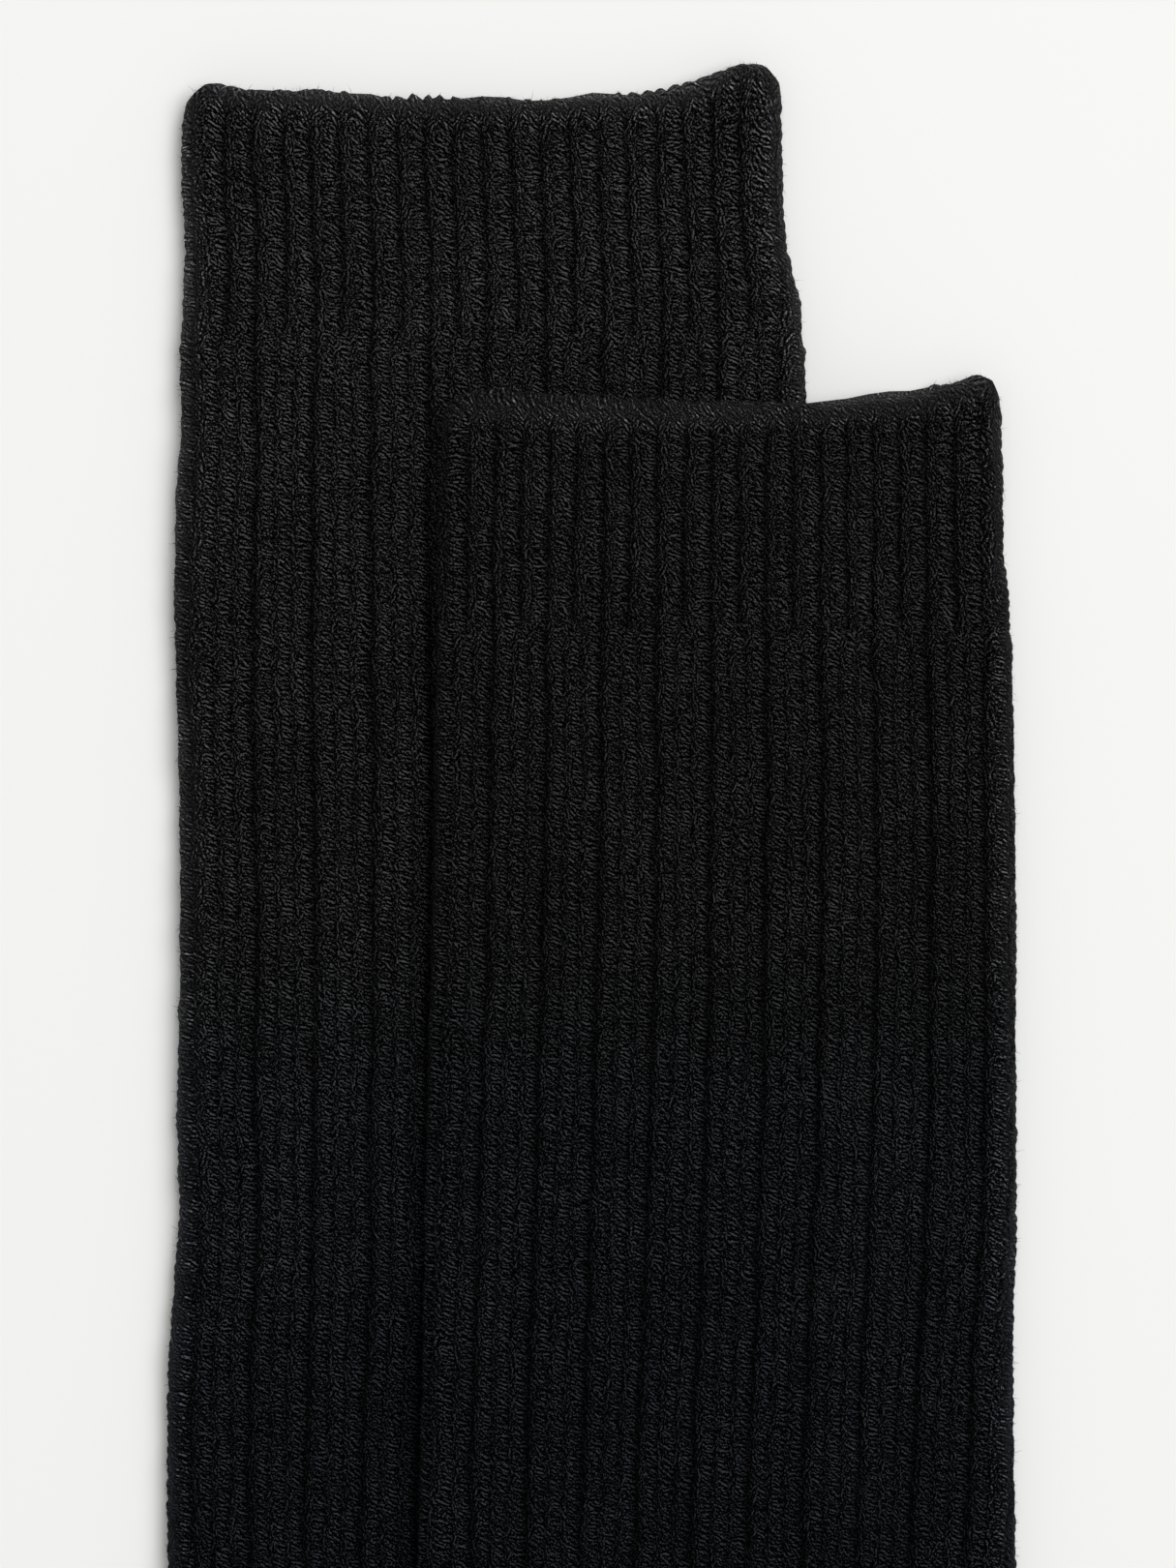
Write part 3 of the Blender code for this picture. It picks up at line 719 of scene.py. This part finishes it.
def cloth_piece(name, rings, places, crowns, fuzz, turns, closed_end, strays, material):
    """A closed wall of quads between rings.  Places are the rings' spots on the cloth, with the
    number of the course, and turns are the rings where the wall turns square."""
    points = (np.concatenate(rings) + TO_FRAME) * METRES
    count = len(rings[0])
    starts = np.arange(len(rings)) * count
    pairs = list(zip(starts, starts[1:], strict=False))
    if not closed_end:
        pairs.append((starts[-1], starts[0]))
    here = np.arange(count)
    there = (here + 1) % count
    faces = np.concatenate(
        [np.column_stack([a + here, b + here, b + there, a + there]) for a, b in pairs]
    )
    mesh = bpy.data.meshes.new(name)
    mesh.vertices.add(len(points))
    mesh.vertices.foreach_set("co", points.ravel())
    mesh.loops.add(faces.size)
    mesh.loops.foreach_set("vertex_index", faces.ravel())
    mesh.polygons.add(len(faces))
    mesh.polygons.foreach_set("loop_start", np.arange(len(faces)) * 4)
    mesh.update(calc_edges=True)
    spots = np.concatenate(places)[faces]
    # The last column meets the first, a whole round further on.
    around = AROUND * RIB_WIDTH + 4 * FOLD_STRETCH
    ahead = spots[:, :1, 0] - spots[:, :, 0] > around / 2
    spots[..., 0] += around * ahead
    climbs = spots[:, 2, 1] + spots[:, 3, 1] > spots[:, 0, 1] + spots[:, 1, 1]
    lie = np.where(climbs, FIBRES_LEFT_LEG, FIBRES_RIGHT_LEG)[:, None]
    # The right legs line up down a wale, and their fibres seem to run on from one to the next.
    # The left legs are drawn under their neighbours, each at a slant and place of its own.
    legs = np.cumsum(climbs.reshape(-1, count) != np.roll(climbs.reshape(-1, count), 1), axis=1)
    course = np.floor(spots[..., 2].min(axis=1) + COURSE_SLACK).astype(int)
    size = (course.max() + 1, legs.max() + 1, 1, 2)
    own = np.random.default_rng(count).uniform(0, OWN_PLACES, size)
    own[:WELT_COURSES] = 0
    stray = np.where(climbs, *strays)[:, None]
    own = own[course, legs.ravel()] * (stray > 0)[..., None]
    lie = lie + stray * (own[..., 0] / OWN_PLACES - 0.5)
    along = spots[..., 0] * np.cos(lie) + spots[..., 1] * np.sin(lie)
    across = spots[..., 1] * np.cos(lie) - spots[..., 0] * np.sin(lie)
    uv = mesh.uv_layers.new(name="fibres")
    uv.data.foreach_set("uv", (np.stack([along, across], axis=-1) + own).ravel())
    crown = mesh.attributes.new("crown", "FLOAT", "POINT")
    crown.data.foreach_set("value", np.concatenate(crowns).astype(np.float32))
    # The fuzz attribute holds raised fibres together with the painted halo and rim light.
    fuzzy = mesh.attributes.new("fuzz", "FLOAT", "POINT")
    fuzzy.data.foreach_set("value", np.concatenate(fuzz).astype(np.float32))
    left = mesh.attributes.new("left_leg", "FLOAT", "FACE")
    left.data.foreach_set("value", climbs.astype(np.float32))
    mesh.materials.append(material)
    mesh.shade_smooth()
    ends = np.empty(len(mesh.edges) * 2, int)
    mesh.edges.foreach_get("vertices", ends)
    rows = ends.reshape(-1, 2) // count
    square = (rows[:, 0] == rows[:, 1]) & np.isin(rows[:, 0], turns)
    sharp = mesh.attributes.new("sharp_edge", "BOOLEAN", "EDGE")
    sharp.data.foreach_set("value", square)
    piece = bpy.data.objects.new(name, mesh)
    bpy.context.scene.collection.objects.link(piece)
    return piece


def linear(hex_colour):
    """A colour written as sRGB hex, as linear values."""
    values = [int(hex_colour[i : i + 2], 16) / 255 for i in (1, 3, 5)]
    values = [v / 12.92 if v <= 0.04045 else ((v + 0.055) / 1.055) ** 2.4 for v in values]
    return (*values, 1.0)


def add_node(tree, kind, links=None, **settings):
    """One node with its settings, and its inputs linked or set by name or number."""
    node = tree.nodes.new(kind)
    for name, value in settings.items():
        setattr(node, name, value)
    for name, value in (links or {}).items():
        if isinstance(value, bpy.types.NodeSocket):
            tree.links.new(value, node.inputs[name])
        else:
            node.inputs[name].default_value = value
    return node


# The yarn's own sizes, in millimetres, for places on the yarn's pattern.
PLY_PATCHES = 1.45  # patches of plies in a millimetre
PLIES = 1.15  # plies across each patch, which makes them 0.6 mm apart
TURNS = 0.9  # changes of their direction in a millimetre
TURN_MOST = 0.8  # radians, from one side to the other
FIBRE_SIZE = (0.26, 0.18)  # real fibres are 0.02 mm thick, too fine to show
COMBED_SIZE = 2.0  # from a stitch that is combed flat to one that is fluffed up
RUBBED_PATCHES = 70.0  # lighter patches in a metre of cloth; the detail goes down to 2 mm

# How strongly the plies stand out, as a factor at both ends of a range of something else.
Contrast = namedtuple("Contrast", "start end at_start at_end")
COMBED = Contrast(0.3, 0.7, 5.4, 10.6)
BESIDE_FURROW = Contrast(0.1, 0.8, 1.45, 1.0)  # each turn of yarn stands out against the dark
HALF_HIDDEN = Contrast(0.0, 1.0, 1.08, 0.72)  # a left leg lies under the stitch beside it
IN_FURROW = Contrast(-0.4, 0.2, 0.45, 1.0)  # at the bottom of a furrow nothing shows, and it is painted darker: painted shade
FUZZED = Contrast(0.0, 1.2, 1.0, 0.28)  # raised fibres blur both the plies and the fibres

# What each adds to the exponent of ten that the yarn's lightness is.
FIBRES_ADD = 5.0
CROWN_ADDS = 0.32
FUZZ_SHEEN_ADDS = 0.60
RUBBING_ADDS = 0.35
LIGHTEST = 1.4  # where the plies' and the fibres' part of it levels off
LIGHTEST_EASE = 0.25
DYE_BELOW = 0.0412  # the yarn's strength at the frame's middle and below, without painted light
PAINTED_LIGHT_ABOVE = 0.0482  # and at the cuffs, painted lighter there, where each sock's brightness multiplies it
PAINTED_LIGHT_HEIGHTS = (0.0, 0.16)  # metres up the frame, from one to the other
PAINTED_TINT_HEIGHTS = (0.03, 0.10)  # and from a painted bluish black to a neutral one


def black_yarn(sock):
    """Thick soft-spun yarn, dyed black: it is painted dark grey where the fibres lie on top and
    black between them, painted shade, and specked where single fibres catch the light, partly
    its own fibres and partly painted glints; it is also painted lighter towards the cuffs,
    painted light."""
    material = bpy.data.materials.new(f"black_dyed_spun_yarn_{sock.name}")
    material.use_nodes = True
    tree = material.node_tree
    shader = tree.nodes["Principled BSDF"]
    fibres_map = add_node(tree, "ShaderNodeUVMap", uv_map="fibres").outputs[0]
    crown = add_node(tree, "ShaderNodeAttribute", attribute_name="crown").outputs["Fac"]
    fuzz = add_node(tree, "ShaderNodeAttribute", attribute_name="fuzz").outputs["Fac"]
    left = add_node(tree, "ShaderNodeAttribute", attribute_name="left_leg").outputs["Fac"]
    cloth = add_node(tree, "ShaderNodeTexCoord").outputs["Object"]

    # The plies of the twisted yarn, ridges that come and go along their length.
    links = {"Vector": fibres_map, "Scale": TURNS, "Detail": 0.0}
    turning = add_node(tree, "ShaderNodeTexNoise", links, noise_dimensions="2D").outputs[0]
    links = {0: turning, 1: TURN_MOST, 2: math.pi / 2 - TURN_MOST / 2}
    turning = add_node(tree, "ShaderNodeMath", links, operation="MULTIPLY_ADD").outputs[0]
    links = {"Vector": fibres_map, "Scale": PLY_PATCHES, "Frequency": PLIES, "Anisotropy": 1.0}
    links["Orientation"] = turning
    plies = add_node(tree, "ShaderNodeTexGabor", links, gabor_type="2D").outputs["Value"]
    # Single fibres, drawn coarse enough to show.
    links = {"Vector": fibres_map, "Scale": (1 / FIBRE_SIZE[0], 1 / FIBRE_SIZE[1], 1.0)}
    mapped = add_node(tree, "ShaderNodeMapping", links).outputs[0]
    links = {"Vector": mapped, "Scale": 1.0, "Detail": 0.0}
    fibres = add_node(tree, "ShaderNodeTexNoise", links, noise_dimensions="2D").outputs[0]
    links = {"Vector": cloth, "Scale": 1 / (COMBED_SIZE * METRES), "Detail": 0.0}
    combed = add_node(tree, "ShaderNodeTexNoise", links).outputs[0]

    contrast = 1.0
    ranges = ((combed, COMBED), (crown, BESIDE_FURROW), (left, HALF_HIDDEN), (crown, IN_FURROW))
    for value, over in ranges:
        links = {"Value": value, "From Min": over.start, "From Max": over.end}
        links.update({"To Min": over.at_start, "To Max": over.at_end})
        factor = add_node(tree, "ShaderNodeMapRange", links).outputs[0]
        links = {0: contrast, 1: factor}
        contrast = add_node(tree, "ShaderNodeMath", links, operation="MULTIPLY").outputs[0]
    links = {"Value": fuzz, "From Min": FUZZED.start, "From Max": FUZZED.end}
    links.update({"To Min": FUZZED.at_start, "To Max": FUZZED.at_end})
    softer = add_node(tree, "ShaderNodeMapRange", links).outputs[0]

    # Both patterns are taken about their middles and added up. Their light strokes are partly
    # the yarn's own pattern and partly painted glints.
    links = {0: plies, 1: 0.5}
    shade = add_node(tree, "ShaderNodeMath", links, operation="SUBTRACT").outputs[0]
    links = {0: shade, 1: contrast}
    shade = add_node(tree, "ShaderNodeMath", links, operation="MULTIPLY").outputs[0]
    links = {0: fibres, 1: 0.5}
    fine = add_node(tree, "ShaderNodeMath", links, operation="SUBTRACT").outputs[0]
    links = {0: fine, 1: FIBRES_ADD, 2: shade}
    shade = add_node(tree, "ShaderNodeMath", links, operation="MULTIPLY_ADD").outputs[0]
    links = {0: shade, 1: softer}
    shade = add_node(tree, "ShaderNodeMath", links, operation="MULTIPLY").outputs[0]
    links = {0: shade, 1: LIGHTEST, 2: LIGHTEST_EASE}
    shade = add_node(tree, "ShaderNodeMath", links, operation="SMOOTH_MIN").outputs[0]
    # Crests are painted lighter and furrows darker, painted shade; raised fibres are painted
    # lighter, a painted sheen and halo; and the cloth is lighter where it is rubbed.
    links = {"Vector": cloth, "Scale": RUBBED_PATCHES, "Detail": 3.0}
    rubbed = add_node(tree, "ShaderNodeTexNoise", links).outputs[0]
    for value, adds in ((crown, CROWN_ADDS), (fuzz, FUZZ_SHEEN_ADDS), (rubbed, RUBBING_ADDS)):
        links = {0: value, 1: adds, 2: shade}
        shade = add_node(tree, "ShaderNodeMath", links, operation="MULTIPLY_ADD").outputs[0]
    # Light off yarn varies by multiples, so the sum is an exponent.
    links = {0: 10.0, 1: shade}
    level = add_node(tree, "ShaderNodeMath", links, operation="POWER").outputs[0]

    # Painted light: the pair is painted 1.6 to 2.1 times lighter towards the cuffs, and darker
    # and bluer below, by height up the frame.  The photograph can't tell whether that is dye
    # or light; here it is dye.
    height = add_node(tree, "ShaderNodeSeparateXYZ", {"Vector": cloth}).outputs["Y"]
    links = {"Value": height, "From Min": PAINTED_LIGHT_HEIGHTS[0], "From Max": PAINTED_LIGHT_HEIGHTS[1]}
    links.update({"To Min": DYE_BELOW, "To Max": PAINTED_LIGHT_ABOVE * sock.brightness})
    upwards = add_node(tree, "ShaderNodeMapRange", links).outputs[0]
    links = {0: level, 1: upwards}
    level = add_node(tree, "ShaderNodeMath", links, operation="MULTIPLY").outputs[0]
    links = {"Value": height, "From Min": PAINTED_TINT_HEIGHTS[0], "From Max": PAINTED_TINT_HEIGHTS[1]}
    neutral = add_node(tree, "ShaderNodeMapRange", links).outputs[0]
    links = {"Factor": neutral, 6: linear("#181a1d"), 7: linear("#1a1a1a")}
    painted_tint = add_node(tree, "ShaderNodeMix", links, data_type="RGBA").outputs[2]
    links = {"Vector": painted_tint, "Scale": level}
    colour = add_node(tree, "ShaderNodeVectorMath", links, operation="SCALE").outputs[0]
    tree.links.new(colour, shader.inputs["Base Color"])
    # The fibres stand up from the yarn by a fraction of a millimetre.
    links = {"Strength": 0.6, "Distance": 0.25 * METRES, "Height": fibres}
    bump = add_node(tree, "ShaderNodeBump", links).outputs[0]
    tree.links.new(bump, shader.inputs["Normal"])
    shader.inputs["Roughness"].default_value = 0.6
    shader.inputs["Specular IOR Level"].default_value = 0.005
    shader.inputs["Sheen Weight"].default_value = 0.01
    shader.inputs["Sheen Roughness"].default_value = 0.5
    return material


yarns = {sock: black_yarn(sock) for sock in (UNDER_SOCK, OVER_SOCK)}
ROWS_PER_COURSE = 3
INSIDE_CROWN = 0.5
INSIDE_STEP = 16.0  # between rings of the plain inside


def tube_part(sock, first, last, rows_per_course, to_tip=False):
    """Rings and their spots on the cloth for the tube between two distances down it."""
    route = routes[sock]
    courses = round((last - first) / COURSE)
    count = courses * rows_per_course
    rows = np.arange(count + 1)
    down = first + (last - first) * rows / count
    course = rows / rows_per_course
    if to_tip:
        # Rows come closer together where the toe rounds over.
        down = first + (last - first) * np.sin(rows / count * math.pi / 2)
        down, course = down[:-1], course[:-1]
    outer, _ = knitted_rows(sock, route, down, course)
    inner_last = last - 2 * LOWER_WALL if to_tip else last
    inner_down = np.linspace(first, inner_last, round((inner_last - first) / INSIDE_STEP) + 1)
    inner_ribs = fabric_of(sock, route, inner_down).ribs
    inner = inside(sock, route, inner_ribs, inner_down[:, None] + 0 * inner_ribs)
    plain = 0 * inner_ribs
    inner_places = np.stack([inner_ribs * RIB_WIDTH, plain - inner_down[:, None], plain], -1)
    return outer, Rings(inner, inner_places, plain + INSIDE_CROWN, plain)


def joined(*parts):
    """Several runs of rings, one after the other."""
    return Rings(*(np.concatenate(values) for values in zip(*parts, strict=True)))


def reversed_rings(rings):
    return Rings(*(values[::-1] for values in rings))


def lay_cuff(sock):
    """The cuff: outside, rounded edge and inside, as one closed wall."""
    outer, inner = tube_part(sock, LIP, CUFF_LENGTH, ROWS_PER_COURSE)
    edge = rounded_edge(sock, routes[sock])
    rings = joined(reversed_rings(inner), reversed_rings(edge), outer)
    return lay_part(sock, "cuff", rings, strays=CUFF_STRAYS)


surfaces = {UNDER_SOCK: [], OVER_SOCK: []}  # where the fuzz is rooted later


def lay_part(sock, part, rings, closed_end=False, turns=(0, -1), strays=STRAYS):
    """One part of the tube as a piece in its place."""
    points = in_the_pair(sock, rings.points)
    turns = [turn % len(points) for turn in turns]
    name = f"{sock.name}_{part}"
    surfaces[sock].append((points, rings.crowns))
    rings = rings._replace(points=points)
    return cloth_piece(name, *rings, turns, closed_end, strays, yarns[sock])


def declared(piece):
    """A part of the tube's cloth: it was knitted to size and is laid down flat."""
    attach(piece, "root")


for sock in (UNDER_SOCK, OVER_SOCK):
    declared(lay_cuff(sock))

# The legs
#
# The same tube goes on in 3x1 rib, three raised wales and one sunk, from the cuff to where
# the heel begins.

for sock in (UNDER_SOCK, OVER_SOCK):
    route = routes[sock]
    outer, inner = tube_part(sock, CUFF_LENGTH, route.heel, ROWS_PER_COURSE)
    turns = (0, len(outer.points) - 1, len(outer.points), -1)
    leg = lay_part(sock, "leg", joined(outer, reversed_rings(inner)), turns=turns)
    declared(leg)

# The feet
#
# The tube turns at the ankle.  The ribs run on over the instep, and the heel pocket, which is
# widened and narrowed by short rows, and the sole are in plain knitting.

FOOT_ROWS_PER_COURSE = 2

for sock in (UNDER_SOCK, OVER_SOCK):
    route = routes[sock]
    outer, inner = tube_part(sock, route.heel, route.toe, FOOT_ROWS_PER_COURSE)
    turns = (0, len(outer.points) - 1, len(outer.points), -1)
    foot = lay_part(sock, "foot", joined(outer, reversed_rings(inner)), turns=turns)
    declared(foot)

# The toes
#
# Plain knitting in the same yarn, narrowed at both sides to a blunt tip and linked shut by one
# seam across the top.


def closing_ring(rings):
    """A last ring drawn in to one point."""
    last = Rings(*(values[-1:] for values in rings))
    return last._replace(points=last.points.mean(axis=1, keepdims=True) + 0 * last.points)


for sock in (UNDER_SOCK, OVER_SOCK):
    route = routes[sock]
    outer, inner = tube_part(sock, route.toe, route.tip, FOOT_ROWS_PER_COURSE, to_tip=True)
    inner = joined(inner, closing_ring(inner))
    turns = (len(inner.points) - 1, len(inner.points))
    rings = joined(reversed_rings(inner), outer, closing_ring(outer))
    toe = lay_part(sock, "toe", rings, closed_end=True, turns=turns)
    declared(toe)
    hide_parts(f"sock_{sock.name}")

# The fuzz
#
# Fibre ends that have worked out of the yarn, short and curled, thickest where the cloth has
# been handled: on the folds and along the cuffs' edges.

FUZZ_STRANDS = 9000
FUZZ_STEPS = (0.0, 0.5)  # of its length, where each fibre has its rings
FUZZ_SIDES = 3
FUZZ_RADIUS = 0.034
FUZZ_TAPER = 0.6
FUZZ_STRAY = 0.75  # how far a fibre leans away from straight out
FUZZ_CURL = (0.2, 0.8)  # how far it curls over, as a share of its length
FUZZ_DEPTH = 0.1  # how deep a fibre is rooted
FUZZ_LENGTH = 0.55  # half of the fibres are shorter
FUZZ_SPREAD = 0.45
FUZZ_LENGTHS = (0.25, 1.7)  # the shortest and the longest
SIDE_LEVEL = 0.6  # cloth that faces up or down by less than this is a side
SIDE_SHARE = 40.0  # and has this many times as many fibres


def normals_of(points):
    """Outward directions on a grid of rings."""
    across = np.roll(points, -1, axis=1) - np.roll(points, 1, axis=1)
    along = np.gradient(points, axis=0)
    normals = np.cross(along, across)
    return normals / np.maximum(np.linalg.norm(normals, axis=-1, keepdims=True), 1e-9)


def strands(rng, roots, normals, lengths):
    """Curled three-sided fibres, as points and triangles."""
    count = len(roots)
    stray = rng.normal(size=(count, 3))
    heading = normals + FUZZ_STRAY * stray / np.linalg.norm(stray, axis=1, keepdims=True)
    heading /= np.linalg.norm(heading, axis=1, keepdims=True)
    curl = np.cross(heading, rng.normal(size=(count, 3)))
    curl *= rng.uniform(*FUZZ_CURL, (count, 1)) / np.linalg.norm(curl, axis=1, keepdims=True)
    side = np.cross(heading, curl)
    side /= np.linalg.norm(side, axis=1, keepdims=True)
    other = np.cross(heading, side)
    rings = []
    for step in FUZZ_STEPS:
        middle = roots + lengths[:, None] * (heading * step + curl * step**2)
        middle = middle - FUZZ_DEPTH * normals
        radius = FUZZ_RADIUS * (1 - FUZZ_TAPER * step)
        for turn in range(FUZZ_SIDES):
            angle = turn * math.tau / FUZZ_SIDES
            rings.append(middle + radius * (math.cos(angle) * side + math.sin(angle) * other))
    tip = roots + lengths[:, None] * (heading + curl) - FUZZ_DEPTH * normals
    points = np.stack([*rings, tip], axis=1)
    faces = [(2, 1, 0), (3, 4, 6), (4, 5, 6), (5, 3, 6)]
    for a, b in ((0, 1), (1, 2), (2, 0)):
        faces += [(a, b, b + 3), (a, b + 3, a + 3)]
    faces = np.array(faces)[None] + 7 * np.arange(count)[:, None, None]
    return points.reshape(-1, 3), faces.reshape(-1, 3)


def black_fibre():
    """Single dyed fibres: black, with a dull gloss along them."""
    material = bpy.data.materials.new("black_fibre_ends")
    material.use_nodes = True
    shader = material.node_tree.nodes["Principled BSDF"]
    shader.inputs["Base Color"].default_value = linear("#1c1c1d")
    shader.inputs["Roughness"].default_value = 0.5
    shader.inputs["Specular IOR Level"].default_value = 0.25
    return material


fibre = black_fibre()
for sock in (UNDER_SOCK, OVER_SOCK):
    rng = np.random.default_rng(sock.seed)
    fine = len(column_places(sock))
    roots, normals, weights = [], [], []
    for points, crowns in surfaces[sock]:
        outward = normals_of(points)
        keep = crowns[:, :fine] != INSIDE_CROWN
        roots.append(points[:, :fine][keep])
        normals.append(outward[:, :fine][keep])
        on_side = np.abs(outward[:, :fine, 2][keep]) < SIDE_LEVEL
        weights.append(np.where(on_side, SIDE_SHARE, 1.0))
    roots, normals = np.concatenate(roots), np.concatenate(normals)
    weights = np.concatenate(weights)
    chosen = rng.choice(len(roots), FUZZ_STRANDS, p=weights / weights.sum())
    lengths = rng.lognormal(math.log(FUZZ_LENGTH), FUZZ_SPREAD, FUZZ_STRANDS)
    lengths = np.clip(lengths, *FUZZ_LENGTHS)
    points, faces = strands(rng, roots[chosen], normals[chosen], lengths)
    points[:, 2] = np.maximum(points[:, 2], 0.0)
    mesh = bpy.data.meshes.new(f"{sock.name}_fuzz")
    mesh.from_pydata((points + TO_FRAME) * METRES, [], faces)
    mesh.materials.append(fibre)
    mesh.shade_smooth()
    fuzz = bpy.data.objects.new(mesh.name, mesh)
    bpy.context.scene.collection.objects.link(fuzz)
    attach(fuzz, "root")

# The surface, the light and the camera
#
# Matt white paper, lit by a large soft lamp from the upper right and by a pale room.  The camera
# looks straight down on the cuffs and legs.

FLOOR_SIZE = 6.0  # metres, as are all sizes in this section
ROOM_LIGHT = 0.33
KEY_OFFSET = Vector((0.90, 0.80, 2.93))
KEY_SIZE = 2.5
KEY_WATTS = 102.0
FRAME_MIDDLE = (13.88, -98.49)  # millimetres, from the middle of the under sock's edge
FRAME_HEIGHT = 0.226
CAMERA_HEIGHT = 1.6
SENSOR = 36.0  # millimetres

bpy.ops.object.select_all(action="DESELECT")
bpy.ops.mesh.primitive_plane_add(size=FLOOR_SIZE, location=(0, 0, 0))
floor = bpy.context.object
floor.name = "floor"
# Uncoated white paper: it scatters all light and has no gloss.
paper = bpy.data.materials.new("matt_white_paper")
paper.use_nodes = True
shader = paper.node_tree.nodes["Principled BSDF"]
shader.inputs["Base Color"].default_value = linear("#e9e9e7")
shader.inputs["Roughness"].default_value = 0.9
shader.inputs["Specular IOR Level"].default_value = 0.0
floor.data.materials.append(paper)

world = bpy.data.worlds.new("studio")
bpy.context.scene.world = world
world.use_nodes = True
background = world.node_tree.nodes["Background"]
background.inputs["Color"].default_value = linear("#ffffff")
background.inputs["Strength"].default_value = ROOM_LIGHT

middle = (np.array([*FRAME_MIDDLE, 0]) + TO_FRAME) * METRES
light = bpy.data.lights.new("key", "AREA")
light.shape = "SQUARE"
light.size = KEY_SIZE
light.energy = KEY_WATTS
lamp = bpy.data.objects.new("key", light)
bpy.context.scene.collection.objects.link(lamp)
lamp.location = Vector(middle) + KEY_OFFSET
lamp.rotation_euler = KEY_OFFSET.to_track_quat("Z", "Y").to_euler()
lamp.visible_camera = False

camera = bpy.data.objects.new("camera", bpy.data.cameras.new("camera"))
bpy.context.scene.collection.objects.link(camera)
camera.location = (middle[0], middle[1], CAMERA_HEIGHT)
camera.data.sensor_width = SENSOR
camera.data.lens = SENSOR * CAMERA_HEIGHT / FRAME_HEIGHT
bpy.context.scene.camera = camera
bpy.context.scene.view_settings.view_transform = "Standard"
